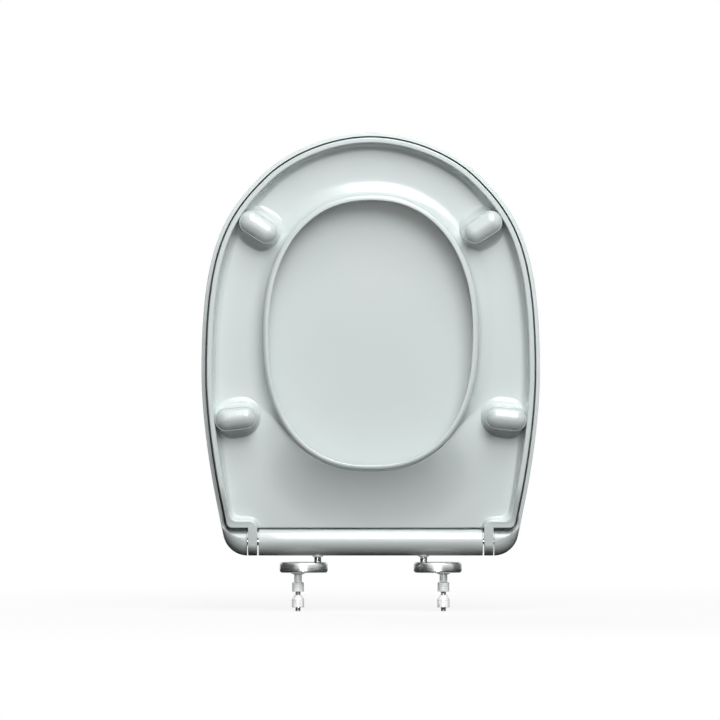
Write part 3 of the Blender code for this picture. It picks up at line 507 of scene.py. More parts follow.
def lid_hollow(depth):
    rear = math.sqrt(BAR_SWEEP**2 - LID_REAR_SKIRT_DEPTH**2) + depth
    radius = LID_HOLLOW_CORNER + CORNER_GROWTH_SHARE * depth
    return half_edge(LID_SKIRT_THICKNESS + depth, rear, radius, lid_places)


LID_EDGE_ROW = lid_outline(0.0)
LID_CREST_ROW = lid_outline(BAR_RADIUS)
SHOULDER = 1 - np.clip(
    (LID_EDGE_ROW[:, 1] - SHOULDER_REAR_REACH) / (SHOULDER_FRONT_REACH - SHOULDER_REAR_REACH), 0, 1
) ** SHOULDER_POWER


def lid_wall(s, c, wall, away):
    """A row round the lid's edge; the skirt has its own width, start and rise, the shoulder the bar's."""
    shoulder = (BAR_RADIUS, 0.0, BAR_RADIUS * away)
    width, start, rise = (a + (b - a) * SHOULDER for a, b in zip(wall, shoulder))
    share = (width * (1 - c) / BAR_RADIUS)[:, None]
    return placed(LID_EDGE_ROW + (LID_CREST_ROW - LID_EDGE_ROW) * share, start + rise * s)


def lid_foot(crest, steps=8):
    """Rows across the foot of the lid's wall: level under the skirt, round the hinge at a shoulder."""
    hollow = lid_hollow(0.0)
    rear = hollow[-1][1]
    share = np.minimum(1.0, (hollow[:, 1] - rear) / LID_REAR_BLEND)
    depth = LID_REAR_SKIRT_DEPTH + (LID_SKIRT_DEPTH - LID_REAR_SKIRT_DEPTH) * share
    edge = placed(hollow, -depth)
    rows = []
    for k in range(1, steps + 1):
        row = crest + (edge - crest) * (k / steps)
        reach = row[:, 2] - AXIS_HEIGHT
        radius = BAR_RADIUS + (BAR_SWEEP - BAR_RADIUS) * np.clip(reach / rear, 0, 1)
        round_height = -np.sqrt(np.maximum(0.0, radius**2 - reach**2))
        row[:, 1] = np.minimum(row[:, 1], round_height) if k < steps else row[:, 1]
        rows.append(row)
    return rows


def crowned(row, steps=14):
    """Rows drawn in towards the middle, rising to the crown."""
    rows = []
    middle = np.array([0.0, row[0][1], WIDEST_REACH + AXIS_HEIGHT])
    for k in range(1, steps + 1):
        share = 1 - k / (steps + CROWN_LAST_STEP)
        inner = middle + (row - middle) * share
        inner[:, 1] = row[0][1] + LID_CROWN * (1 - share**2)
        rows.append(inner)
    return rows


def lid_slot():
    """Cutter that opens the lid's rear edge round the bar and the ears, flared at the top for the posts."""
    steps = 40
    arc = [-math.pi / 2 + (SLOT_FLARE + math.pi / 2) * k / steps for k in range(steps + 1)]
    outline = [(BAR_CLEARANCE * math.sin(a), BAR_CLEARANCE * math.cos(a)) for a in arc]
    far = 2 * BAR_CLEARANCE
    outline.append((far * math.sin(SLOT_FLARE), far * math.cos(SLOT_FLARE)))
    outline += [(far, -far), (-BAR_CLEARANCE, -far)]
    return prism_along_x("lid_slot", outline, -SHOULDER_INNER, SHOULDER_INNER)


def round_along_x(name, radius, low, high, sides=48):
    turns = [math.tau * k / sides for k in range(sides)]
    outline = [(radius * math.cos(turn), radius * math.sin(turn)) for turn in turns]
    return prism_along_x(name, outline, low, high)


def build_lid():
    upper = (LID_ROUND_WIDTH, LID_TOP - LID_ROUND_DROP, LID_ROUND_DROP)
    lower = (LID_EDGE, LID_EDGE - LID_SKIRT_DEPTH, -LID_EDGE)
    outside = [lid_wall(s, c, upper, 1) for s, c in quarter(LID_ROUND_STEPS)]
    outside += crowned(outside[-1])
    foot = [lid_wall(s, c, lower, -1) for s, c in quarter(LID_EDGE_STEPS)]
    foot += lid_foot(foot[-1])
    inside = [
        placed(lid_hollow(LID_FILLET * (1 - c)), LID_INNER - LID_FILLET * (1 - s))
        for s, c in quarter(LID_FILLET_STEPS)
    ]
    inside += crowned(inside[-1])
    rows = [mirrored(row) for row in inside[::-1] + foot[::-1] + outside]
    lid = loft("lid_moulding", rows, closed=False)
    cutters = [lid_slot()]
    for side in (-1, 1):
        start, end = SHOULDER_INNER - CUTTER_EXTRA, SHOULDER_INNER + SHOULDER_BORE_DEPTH
        cutters.append(round_along_x("bush_hole", BUSH_HOLE_RADIUS, start * side, end * side))
    cut(lid, cutters)
    return lid


# Seat ring


class Pad:
    """A pad's place inside the lid's edge, and the inward direction that its length follows."""

    def __init__(self, curve, share, side):
        place, inward = bezier(edge_curves()[curve], [share])
        self.centre = (place[0] + inward[0] * PAD_INSET) * np.array([side, 1])
        self.inward = inward[0] * np.array([side, 1])

    def ring(self, straight, radius, height, shift=0.0, count=96):
        """A stadium at a height; with no straight length it is a circle."""
        across = np.array([-self.inward[1], self.inward[0]])
        angles = math.tau * (np.arange(count) + 0.5) / count
        run = radius * np.cos(angles) + shift + np.copysign(straight / 2, np.cos(angles))
        spot = self.centre + run[:, None] * self.inward + (radius * np.sin(angles))[:, None] * across
        return placed(spot, height)


def pads():
    for side, word in SIDES:
        yield f"front_{word}_pad", Pad(1, FRONT_PAD_PLACE_SHARE, side)
        yield f"rear_{word}_pad", Pad(2, REAR_PAD_PLACE_SHARE, side)


def seat_places(start):
    first = start + (MIDDLE_REACH - start) * np.arange(1, EAR_PLACES + 1) / EAR_PLACES
    return np.concatenate([first, MIDDLE_REACH * np.arange(MIDDLE_PLACES - 1, -1, -1) / MIDDLE_PLACES])


def seat_edge(depth):
    """Right half of an edge of the seat that lies a given depth inside its rim."""
    radius = SEAT_CORNER_RADIUS + CORNER_GROWTH_SHARE * depth
    return half_edge(SEAT_INSET + depth, SEAT_REAR + depth, radius, seat_places)


SEAT_RIM = seat_edge(0.0)


def opening_edge(outset):
    return egg(SEAT_RIM, outset)


def eased_share(values, none, full):
    """0 at one limit and 1 at the other, smooth between."""
    share = np.clip((values - none) / (full - none), 0, 1)
    return share**2 * (3 - 2 * share)


def rim_depth(half, depth):
    """Depth of the land, its wall and the wall's fillet; the land turns down to the ears at the rear."""
    inside = (half - EDGE[-1]) @ EDGE_INWARD[-1] - SEAT_INSET
    side = np.where(half[:, 1] < TAPER_REACH, inside, depth) - RIM_WIDTH
    turn = EAR_TURN_RADIUS
    along = np.maximum(half[:, 1] - EAR_LAND_REACH + turn, 0.0)
    sideways = np.maximum(EAR_INNER - half[:, 0] + turn, 0.0)
    ear = np.hypot(along, sideways) - turn
    blend = np.maximum(EAR_LAND_BLEND - np.abs(side - ear), 0.0) / EAR_LAND_BLEND
    away = np.minimum(side, ear) - blend**2 * EAR_LAND_BLEND / 4
    rear = eased_share(half[:, 1], REAR_RIM_FROM, REAR_RIM_TO)
    land = RIM_DEPTH + (REAR_RIM_DEPTH - RIM_DEPTH) * rear
    edge = RIM_EDGE + (REAR_RIM_EDGE - RIM_EDGE) * rear
    foot = RIM_WALL_LEAN + VALLEY_FILLET
    past = np.clip(away + edge, 0, edge)
    round_edge = land - edge + np.sqrt(np.maximum(0.0, edge**2 - past**2))
    room = land - edge - FLOOR_DEPTH - RIM_WALL_LEAST
    wall_low = FLOOR_DEPTH + np.minimum(VALLEY_FILLET, room)
    wall = land - edge + (wall_low - land + edge) * np.clip(away / RIM_WALL_LEAN, 0, 1)
    share = np.clip((foot - away) / VALLEY_FILLET, 0, 1)
    fillet = FLOOR_DEPTH + (wall_low - FLOOR_DEPTH) * (1 - np.sqrt(1 - share**2))
    return np.where(away < 0, round_edge, np.where(away < RIM_WALL_LEAN, wall, fillet))


def ramp_share(half):
    """How far each point lies in the fan behind the opening."""
    rel = half - np.array([0.0, OPENING_REACH])
    return eased_share(np.arctan2(np.abs(rel[:, 0]), -rel[:, 1]), RAMP_NONE, RAMP_FULL)


def ramped(half, below):
    """Depths below the lip, or of a ramp from the lip to the rear edge where that is deeper."""
    run = np.clip(np.linalg.norm(half - egg(half, LIP_WIDTH), axis=1) / RAMP_LENGTH, 0, 1)
    ramp = RAMP_END + (RAMP_START - RAMP_END) * (1 - run) ** RAMP_POWER
    return np.maximum(below, FLOOR_DEPTH + (ramp - FLOOR_DEPTH) * ramp_share(half))


def rim_row(depth):
    half = seat_edge(depth)
    below = ramped(half, np.maximum(rim_depth(half, depth), FLOOR_DEPTH))
    edge = min(1.0, depth / RIM_EDGE)
    below -= RIM_EDGE * (1 - math.sqrt(1 - (1 - edge) ** 2))
    return placed(half, -below)


def lip_profile():
    """(outset, depth) pairs over the lip's edge and crest and up the inner wall to the valley's floor."""
    pairs = [(LIP_EDGE * (1 - c), LIP_DEPTH - LIP_EDGE * (1 - s)) for s, c in quarter(EDGE_STEPS)]
    width = LIP_WIDTH - LIP_CREST
    pairs += [(LIP_CREST + width * s, LIP_DEPTH - width * (1 - c)) for s, c in quarter(LIP_CREST_STEPS)]
    low = LIP_DEPTH - width
    wall = [
        (LIP_WIDTH + INNER_WALL_WIDTH * (1 - c), low + (FLOOR_DEPTH - low) * s)
        for s, c in quarter(INNER_WALL_STEPS)
    ]
    return pairs + wall[1:]


def seat_rows():
    """Rows from the rim over the top, down the opening, under the lip and back across the valley."""
    rows = [
        placed(seat_edge(SEAT_ROUND_WIDTH * (1 - c)), SEAT_TOP - SEAT_ROUND_DROP * (1 - s))
        for s, c in quarter(TOP_ROUND_STEPS)
    ]
    outer, inner = seat_edge(SEAT_ROUND_WIDTH), opening_edge(OPENING_ROUND_WIDTH)
    for k in range(1, SEAT_TOP_ROWS):
        share = k / SEAT_TOP_ROWS
        rise = SEAT_CROWN * 4 * share * (1 - share)
        rows.append(placed(outer + (inner - outer) * share, SEAT_TOP + rise))
    rows += [
        placed(opening_edge(OPENING_ROUND_WIDTH * (1 - s)), SEAT_TOP - OPENING_ROUND_DROP * (1 - c))
        for s, c in quarter(TOP_ROUND_STEPS)
    ]
    for outset, depth in lip_profile():
        half = opening_edge(outset)
        wall_share = min(1.0, (depth - FLOOR_DEPTH) / (LIP_DEPTH - FLOOR_DEPTH))
        below = depth + REAR_LIP_RISE * ramp_share(half) * wall_share
        rows.append(placed(half, -(ramped(half, below) if outset > LIP_WIDTH else below)))
    outer, inner = seat_edge(RIM_BLOCK), opening_edge(LIP_WIDTH + INNER_WALL_WIDTH)
    for k in range(1, VALLEY_ROWS):
        half = inner + (outer - inner) * (k / VALLEY_ROWS)
        rows.append(placed(half, -ramped(half, np.full(len(half), FLOOR_DEPTH))))
    rows += [rim_row(RIM_BLOCK * (1 - k / RIM_BLOCK_ROWS)) for k in range(RIM_BLOCK_ROWS + 1)]
    foot = rows[-1]
    for k in range(1, RIM_SIDE_ROWS):
        row = foot.copy()
        row[:, 1] += (SEAT_TOP - SEAT_ROUND_DROP - foot[:, 1]) * (k / RIM_SIDE_ROWS)
        rows.append(row)
    return [clear_of_bar(row) for row in rows]


def clear_of_bar(row):
    """The row with points moved out of the space that the bar and the lid's shoulders turn in."""
    reach = row[:, 2] - AXIS_HEIGHT
    least = np.sqrt(np.maximum(0.0, BAR_CLEARANCE**2 - row[:, 1] ** 2))
    near = (reach < BAR_CLEARANCE) & (row[:, 1] > -BAR_CLEARANCE)
    row[:, 2] = np.where(near, np.maximum(reach, least), reach) + AXIS_HEIGHT
    return row


def ear_outline():
    """Side view of an ear: level with the land in front, round about the axis behind and at its end."""
    joint = (SEAT_TOP - SEAT_ROUND_DROP, SEAT_REAR + EAR_JOINT_REACH)
    start = math.atan2(*joint) + math.acos(BAR_RADIUS / math.hypot(*joint))
    steps = 40
    angles = [start + (math.pi - start) * k / steps for k in range(steps + 1)]
    back = [(BAR_RADIUS * math.sin(a), BAR_RADIUS * math.cos(a)) for a in angles]
    drop = BAR_RADIUS - EAR_ROUND_REACH
    front = REAR_RIM_DEPTH + EAR_LAND_STEP
    end = [(-front * s, -EAR_ROUND_REACH - drop * c) for s, c in quarter(EAR_END_STEPS)]
    face = [(-front, joint[1] - RIM_EDGE), (RIM_EDGE - front, joint[1])]
    return back + end[1:] + face + [joint]


def eased(piece, width, steps=4):
    """Rounds the edges round both ends of a prism along x."""
    bm = bmesh.new()
    bm.from_mesh(piece.data)
    caps = [face for face in bm.faces if abs(face.normal.x) > 0.99]
    edges = {edge for face in caps for edge in face.edges}
    bmesh.ops.bevel(bm, geom=list(edges), offset=width, segments=steps, profile=0.5, affect="EDGES")
    bm.to_mesh(piece.data)
    bm.free()
    smooth(piece)


def build_ear(side):
    low, high = sorted((EAR_INNER * side, EAR_OUTER * side))
    ear = prism_along_x("ear", ear_outline(), low, high)
    eased(ear, EAR_EDGE)
    start, end = low - CUTTER_EXTRA, high + CUTTER_EXTRA
    cut(ear, [round_along_x("bush_hole", BUSH_HOLE_RADIUS, start, end)])
    return ear


def joined(name, parts):
    """One object from several."""
    bm = bmesh.new()
    for part in parts:
        bm.from_mesh(part.data)
        bpy.data.objects.remove(part, do_unlink=True)
    mesh = bpy.data.meshes.new(name)
    bm.to_mesh(mesh)
    bm.free()
    return smooth_object(name, mesh)


def build_seat():
    """The seat's one moulding: ring, ears and the mounds under the pads."""
    ring = loft("ring", [mirrored(row) for row in seat_rows()], closed=True)
    mounds = [build_mound(place) for name, place in pads()]
    return joined("seat_moulding", [ring, build_ear(-1), build_ear(1)] + mounds)


# Pads, their mounds and the bar


def build_mound(place):
    """The seat's boss under a pad: a flat top whose side sweeps out into the valley, less so at the rim."""
    straight = PAD_LENGTH - 2 * PAD_RADIUS
    edge = PAD_RADIUS + MOUND_MARGIN
    rows = [place.ring(straight, edge * MOUND_MIDDLE_SHARE, MOUND_EDGE * 2 - MOUND_TOP)]
    rows.append(place.ring(straight, PAD_RADIUS - 2 * MOUND_EDGE, -MOUND_TOP))
    rows += [
        place.ring(straight, edge - MOUND_EDGE * (1 - s), MOUND_EDGE * (1 - c) - MOUND_TOP)
        for s, c in quarter(EDGE_STEPS)
    ]
    steps = 30
    for k in range(1, steps + 1):
        angle = math.pi / 2 * k / steps
        out = 1 - math.cos(angle) ** (2 / MOUND_POWER)
        drop = math.sin(angle) ** (2 / MOUND_POWER)
        flare, outer, inner = MOUND_FLARE * out, MOUND_OUTER_FLARE * out, MOUND_INNER_FLARE * out
        height = MOUND_EDGE - MOUND_TOP + (MOUND_TOP - MOUND_EDGE - MOUND_FOOT) * drop
        length = straight + outer + inner - 2 * flare
        rows.append(place.ring(length, edge + flare, height, (inner - outer) / 2))
    rows.append(place.ring(straight, edge, MOUND_EDGE * 3 - MOUND_FOOT))
    return loft("mound", rows, closed=False)


def build_pad(place):
    """A rubber pad: a thin flange on the mound, a domed foot and a peg."""
    straight = PAD_LENGTH - 2 * PAD_RADIUS
    rows = [place.ring(0.0, PEG_RADIUS, PEG_LENGTH - PAD_SEAT), place.ring(0.0, PEG_RADIUS, -PAD_SEAT)]
    rows.append(place.ring(straight, PAD_RADIUS, -PAD_SEAT))
    lip = PAD_FLANGE_EDGE
    rows += [
        place.ring(straight, PAD_RADIUS - lip * (1 - c), lip * (1 - s) - PAD_SEAT - PAD_FLANGE)
        for s, c in quarter(EDGE_STEPS - 1)
    ]
    foot = PAD_RADIUS - PAD_FLANGE_WIDTH
    last = math.asin(foot / PAD_DOME_RADIUS)
    level = PAD_DOME_RADIUS * (1 - math.cos(last)) - PAD_FOOT
    rows.append(place.ring(straight, foot + lip, -PAD_SEAT - PAD_FLANGE))
    rows.append(place.ring(straight, foot, lip - PAD_SEAT - PAD_FLANGE))
    steps = 22
    for k in range(steps + 1):
        angle = last * (1 - k / steps * PAD_TIP_SHARE)
        drop = PAD_DOME_RADIUS * (1 - math.cos(angle)) - PAD_FOOT
        rows.append(place.ring(straight, PAD_DOME_RADIUS * math.sin(angle), min(drop, level)))
    return loft("pad", rows, closed=False)


def tube_along_x(name, sections, sides=96):
    """A closed tube through (x, radius) pairs about the hinge axis."""
    angles = math.tau * np.arange(sides) / sides
    rows = []
    for x, radius in sections:
        ring = [np.full(sides, x), radius * np.sin(angles), AXIS_HEIGHT + radius * np.cos(angles)]
        rows.append(np.stack(ring, axis=1))
    return loft(name, rows, closed=True)


def build_bar():
    """The hinge bar: a tube with eased ends, keyways for the dampers and bores for the posts' sockets."""
    end = [
        (BAR_HALF_LENGTH - BAR_EDGE * (1 - s), BAR_RADIUS - BAR_EDGE * (1 - c))
        for s, c in quarter(EDGE_STEPS)
    ]
    rings = [(BAR_HALF_LENGTH * share, BAR_RADIUS) for share in BAR_RING_SHARES]
    right = [(BAR_HALF_LENGTH, BAR_BORE_RADIUS)] + end[::-1] + rings
    sections = right + [(-x, radius) for x, radius in right[-2::-1]]
    bar = tube_along_x("bar_tube", sections)
    cutters = []
    for side in (-1, 1):
        cutters.append(rod("socket_bore", side * POST_X, SOCKET_RADIUS + GAP, 0.0, SOCKET_TOP + GAP))
        low, high = sorted((side * (BAR_HALF_LENGTH - KEY_SLOT_LENGTH), side * (BAR_HALF_LENGTH + MM)))
        width, top = KEY_SLOT_WIDTH / 2, BAR_BORE_RADIUS + KEY_SLOT_DEPTH
        outline = [(-width, 0.0), (width, 0.0), (width, top), (-width, top)]
        cutters.append(prism_along_x("keyway", outline, low, high))
    cut(bar, cutters)
    return bar


# Bowl fixings


def turned(name, profile, x, sides=64, wave=None):
    """A piece turned about an upright line from (radius, height) pairs; wave moves radii by angle."""
    angles = math.tau * np.arange(sides) / sides
    rows = []
    for radius, height in profile:
        radii = np.full(sides, radius)
        if wave:
            radii = wave(radii, angles, height)
        ring = [x + radii * np.cos(angles), radii * np.sin(angles), np.full(sides, height)]
        rows.append(np.stack(ring, axis=1))
    return loft(name, rows, closed=False)


def rod(name, x, radius, low, high):
    return turned(name, [(radius, low), (radius, high)], x)


def softened(profile, radius, steps=4, most=0.45):
    """A profile of (radius, height) pairs with its inner corners rounded."""
    points = [Vector(point) for point in profile]
    out = [points[0]]
    for before, here, after in zip(points, points[1:], points[2:]):
        back, on = before - here, after - here
        reach = min(radius, back.length * most, on.length * most)
        start, end = here + back.normalized() * reach, here + on.normalized() * reach
        for k in range(steps + 1):
            t = k / steps
            out.append(start * (1 - t) ** 2 + here * (2 * t * (1 - t)) + end * t**2)
    out.append(points[-1])
    return [(point.x, point.y) for point in out]


def build_rosette(side):
    """The cover disc, hollow below, with a hole for the post."""
    inner = DISC_RADIUS - DISC_WALL
    ceiling = DISC_TOP - DISC_WALL
    profile = [
        (CORE_RADIUS, ceiling),
        (inner, ceiling),
        (inner, DISC_LOW),
        (DISC_RADIUS, DISC_LOW),
        (DISC_RADIUS, DISC_TOP - DISC_BEVEL),
        (DISC_RADIUS - DISC_BEVEL, DISC_TOP),
        (CORE_RADIUS, DISC_TOP),
    ]
    disc = turned("rosette", softened(profile, WIDE_SOFTENING), side * DISC_X, DISC_SIDES)
    cut(disc, [rod("post_hole", side * POST_X, POST_RADIUS + GAP, 0.0, DISC_TOP + MM)])
    return disc


def build_socket(side):
    """The sleeve in the bar that a post plugs into, with a collar below the bar."""
    bore = POST_RADIUS + GAP
    profile = [
        (CORE_RADIUS, POST_TOP + GAP),
        (bore, POST_TOP + GAP),
        (bore, SOCKET_LOW),
        (SOCKET_RADIUS, SOCKET_LOW),
        (SOCKET_RADIUS, SOCKET_TOP),
        (CORE_RADIUS, SOCKET_TOP),
    ]
    return turned("socket", softened(profile, WIDE_SOFTENING), side * POST_X)


def build_post(side):
    low, step = DISC_LOW + 2 * GAP, DISC_TOP - DISC_WALL
    profile = [
        (CORE_RADIUS, low),
        (POST_SHANK_RADIUS, low),
        (POST_SHANK_RADIUS, step),
        (POST_RADIUS, step),
        (POST_RADIUS, GROOVE_LOW),
        (GROOVE_RADIUS, GROOVE_LOW),
        (GROOVE_RADIUS, GROOVE_HIGH),
        (POST_RADIUS, GROOVE_HIGH),
        (POST_RADIUS, POST_TOP - POST_TIP),
        (POST_RADIUS - POST_TIP, POST_TOP),
        (CORE_RADIUS, POST_TOP),
    ]
    return turned("post", softened(profile, SOFTENING), side * POST_X)


def build_washer(side):
    profile = [
        (FIXING_BORE, DISC_LOW),
        (FIXING_BORE, -CONE_DEPTH),
        (SPACER_RADIUS + CONE_FOOT_WIDTH, -CONE_DEPTH),
        (CONE_TOP_RADIUS, DISC_LOW - CONE_RIM_HEIGHT),
        (CONE_TOP_RADIUS, DISC_LOW),
        (FIXING_BORE, DISC_LOW),
    ]
    return turned("washer", softened(profile, SOFTENING), side * BOLT_X)


def build_spacer(side):
    low, high = -SPACER_DEPTH, -CONE_DEPTH - GAP
    outside = [(SPACER_RADIUS, low), (SPACER_RADIUS, high)]
    profile = [(FIXING_BORE, high), (FIXING_BORE, low)] + outside + [(FIXING_BORE, high)]
    return turned("spacer", softened(profile, SPACER_SOFTENING), side * BOLT_X)


def build_sleeve(side):
    """The expanding sleeve, ribbed outside."""
    low, high = -SLEEVE_DEPTH, -SPACER_DEPTH - GAP
    outside = []
    for k in range(SLEEVE_ROWS + 1):
        share = k / SLEEVE_ROWS
        rib = SLEEVE_RIB_DEPTH * (0.5 - 0.5 * math.cos(math.tau * SLEEVE_RIBS * share))
        end = SLEEVE_END * max(0.0, 1 - min(share, 1 - share) / SLEEVE_END_SHARE) ** 2
        outside.append((SLEEVE_RADIUS - rib - end, low + (high - low) * share))
    profile = [(FIXING_BORE, high), (FIXING_BORE, low)] + outside + [(FIXING_BORE, high)]
    return turned("sleeve", profile, side * BOLT_X)


def fluted(radii, angles, height):
    """Grip flutes round the lower part of the nut."""
    top = -NUT_TOP_DEPTH - NUT_CONE_HEIGHT - NUT_FLUTE_RUNOUT
    ends = (top - height, height + NUT_DEPTH - NUT_FLUTE_FOOT)
    upper, lower = (min(1.0, max(0.0, room / NUT_FLUTE_RUNOUT)) for room in ends)
    flute = np.maximum(0.0, np.cos(NUT_FLUTES * angles)) ** 3 * (upper * lower)
    return np.where(radii > NUT_FLUTE_RADIUS, radii - NUT_FLUTE_DEPTH * flute, radii)


def build_nut(side):
    """The nut that draws its cone into the sleeve."""
    shoulder = -NUT_TOP_DEPTH - NUT_CONE_HEIGHT
    low, length = NUT_SIDE_MARGIN - NUT_DEPTH, shoulder + NUT_DEPTH - 2 * NUT_SIDE_MARGIN
    profile = [(FIXING_BORE, -NUT_TOP_DEPTH), (FIXING_BORE, -NUT_DEPTH), (NUT_RADIUS, -NUT_DEPTH)]
    profile += [(NUT_RADIUS, low + length * k / NUT_SIDE_ROWS) for k in range(NUT_SIDE_ROWS + 1)]
    profile += [(NUT_RADIUS, shoulder), (FIXING_BORE + NUT_TOP_WIDTH, -NUT_TOP_DEPTH)]
    profile.append((FIXING_BORE, -NUT_TOP_DEPTH))
    return turned("nut", softened(profile, NUT_SOFTENING), side * BOLT_X, NUT_SIDES, fluted)


def build_bolt(side):
    """The fixing bolt: six-sided head, shank, and a thread down to its tip."""
    neck = HEAD_TOP - HEAD_HEIGHT
    head = [
        (HEAD_RADIUS - HEAD_BEVEL_WIDTH, HEAD_TOP),
        (HEAD_RADIUS, HEAD_TOP - HEAD_BEVEL_HEIGHT),
        (HEAD_RADIUS, neck),
    ]
    bolt_head = turned("bolt_head", head, side * BOLT_X, sides=6)
    rows = [(BOLT_RADIUS, neck + HEAD_OVERLAP), (BOLT_RADIUS, -THREAD_START)]
    length = BOLT_TIP_DEPTH - THREAD_START
    count = int(length / THREAD_PITCH * THREAD_STEPS)
    rows += [(BOLT_RADIUS, -THREAD_START - length * k / count) for k in range(1, count + 1)]

    def thread(radii, angles, height):
        if height > -THREAD_START:
            return radii
        turn = height / THREAD_PITCH + angles / math.tau
        start = min(1.0, (-THREAD_START - height) / THREAD_PITCH)
        groove = THREAD_DEPTH * (0.5 - 0.5 * np.cos(math.tau * turn)) ** THREAD_SHARPNESS * start
        tip = max(0.0, BOLT_TIP - (height + BOLT_TIP_DEPTH))
        return radii - np.maximum(groove, tip)

    shank = turned("bolt_shank", rows, side * BOLT_X, sides=THREAD_SIDES, wave=thread)
    return joined("bolt", [bolt_head, shank])


# Materials


def principled(name, colour, roughness, metallic=0.0):
    made = bpy.data.materials.new(name)
    made.use_nodes = True
    shader = made.node_tree.nodes["Principled BSDF"]
    shader.inputs["Base Color"].default_value = (*colour, 1.0)
    shader.inputs["Roughness"].default_value = roughness
    shader.inputs["Metallic"].default_value = metallic
    return made, made.node_tree, shader


def noise(tree, scale, detail=3.0):
    """A noise texture in object space."""
    place = tree.nodes.new("ShaderNodeTexCoord")
    made = tree.nodes.new("ShaderNodeTexNoise")
    made.inputs["Scale"].default_value = scale
    made.inputs["Detail"].default_value = detail
    tree.links.new(place.outputs["Object"], made.inputs["Vector"])
    return made


def varied(tree, source, low, high, socket):
    """Drives a socket between two values or colours from a noise."""
    if isinstance(low, tuple):
        ramp = tree.nodes.new("ShaderNodeValToRGB")
        limits = ((low, NOISE_LOW), (high, NOISE_HIGH))
        for element, (colour, position) in zip(ramp.color_ramp.elements, limits):
            element.color = (*colour, 1.0)
            element.position = position
        tree.links.new(source.outputs["Fac"], ramp.inputs["Fac"])
        tree.links.new(ramp.outputs["Color"], socket)
        return
    span = mapped(tree, source.outputs["Fac"], NOISE_LOW, NOISE_HIGH, low, high)
    tree.links.new(span.outputs["Result"], socket)


def mapped(tree, value, low, high, to_low=0.0, to_high=1.0):
    """A node that carries a value from one range to another."""
    span = tree.nodes.new("ShaderNodeMapRange")
    limits = {"From Min": low, "From Max": high, "To Min": to_low, "To Max": to_high}
    for word, limit in limits.items():
        span.inputs[word].default_value = limit
    tree.links.new(value, span.inputs["Value"])
    return span


def bumped(tree, shader, source, strength, distance):
    bump = tree.nodes.new("ShaderNodeBump")
    bump.inputs["Strength"].default_value = strength
    bump.inputs["Distance"].default_value = distance
    tree.links.new(source.outputs["Fac"], bump.inputs["Height"])
    tree.links.new(bump.outputs["Normal"], shader.inputs["Normal"])


def plastic(name, low, high, roughness, grain=0.0, coat=0.0):
    """A moulded plastic between two near colours, its gloss drifting a little; grain is its texture."""
    made, tree, shader = principled(name, low, roughness[0])
    shader.inputs["IOR"].default_value = PLASTIC_IOR
    shader.inputs["Coat Weight"].default_value = coat
    shader.inputs["Coat Roughness"].default_value = COAT_ROUGHNESS
    varied(tree, noise(tree, COLOUR_NOISE), low, high, shader.inputs["Base Color"])
    varied(tree, noise(tree, GLOSS_NOISE), *roughness, shader.inputs["Roughness"])
    if grain:
        bumped(tree, shader, noise(tree, GRAIN_NOISE, detail=2.0), grain, GRAIN_HEIGHT)
    return made


def painted_top_shade(tree, shader, share):
    """Paints shade on level faces: darkens their colour so that they reflect less light onto what lies
    above them.
    """
    source = shader.inputs["Base Color"].links[0].from_socket
    normal = tree.nodes.new("ShaderNodeNewGeometry")
    parts = tree.nodes.new("ShaderNodeSeparateXYZ")
    tree.links.new(normal.outputs["True Normal"], parts.inputs[0])
    mix = tree.nodes.new("ShaderNodeMix")
    mix.data_type = "RGBA"
    mix.inputs["B"].default_value = (share, share, share, 1.0)
    level = mapped(tree, parts.outputs["Z"], TOP_SHADE_FROM, TOP_SHADE_TO)
    tree.links.new(level.outputs["Result"], mix.inputs["Factor"])
    tree.links.new(source, mix.inputs["A"])
    tree.links.new(mix.outputs["Result"], shader.inputs["Base Color"])


def steel(name, colour, roughness, brushed=0.0, stretch=(1.0, 1.0, 1.0), top=None):
    """Steel, polished or brushed along one direction; where top is given, shade is painted on its level
    faces.
    """
    made, tree, shader = principled(name, colour, roughness[0], metallic=1.0)
    shader.inputs["Anisotropic"].default_value = brushed
    source = noise(tree, STEEL_NOISE, detail=4.0)
    place = source.inputs["Vector"].links[0].from_node
    scale = tree.nodes.new("ShaderNodeMapping")
    scale.inputs["Scale"].default_value = stretch
    tree.links.new(place.outputs["Object"], scale.inputs["Vector"])
    tree.links.new(scale.outputs["Vector"], source.inputs["Vector"])
    varied(tree, source, *roughness, shader.inputs["Roughness"])
    darker = tuple(share * STEEL_DARKEST for share in colour)
    varied(tree, source, darker, colour, shader.inputs["Base Color"])
    bumped(tree, shader, source, STEEL_MARKS + BRUSHED_MARKS * brushed, STEEL_MARK_HEIGHT)
    # Painted shade: level faces get a darker colour, so that they reflect less light
    if top:
        painted_top_shade(tree, shader, top)
    return made


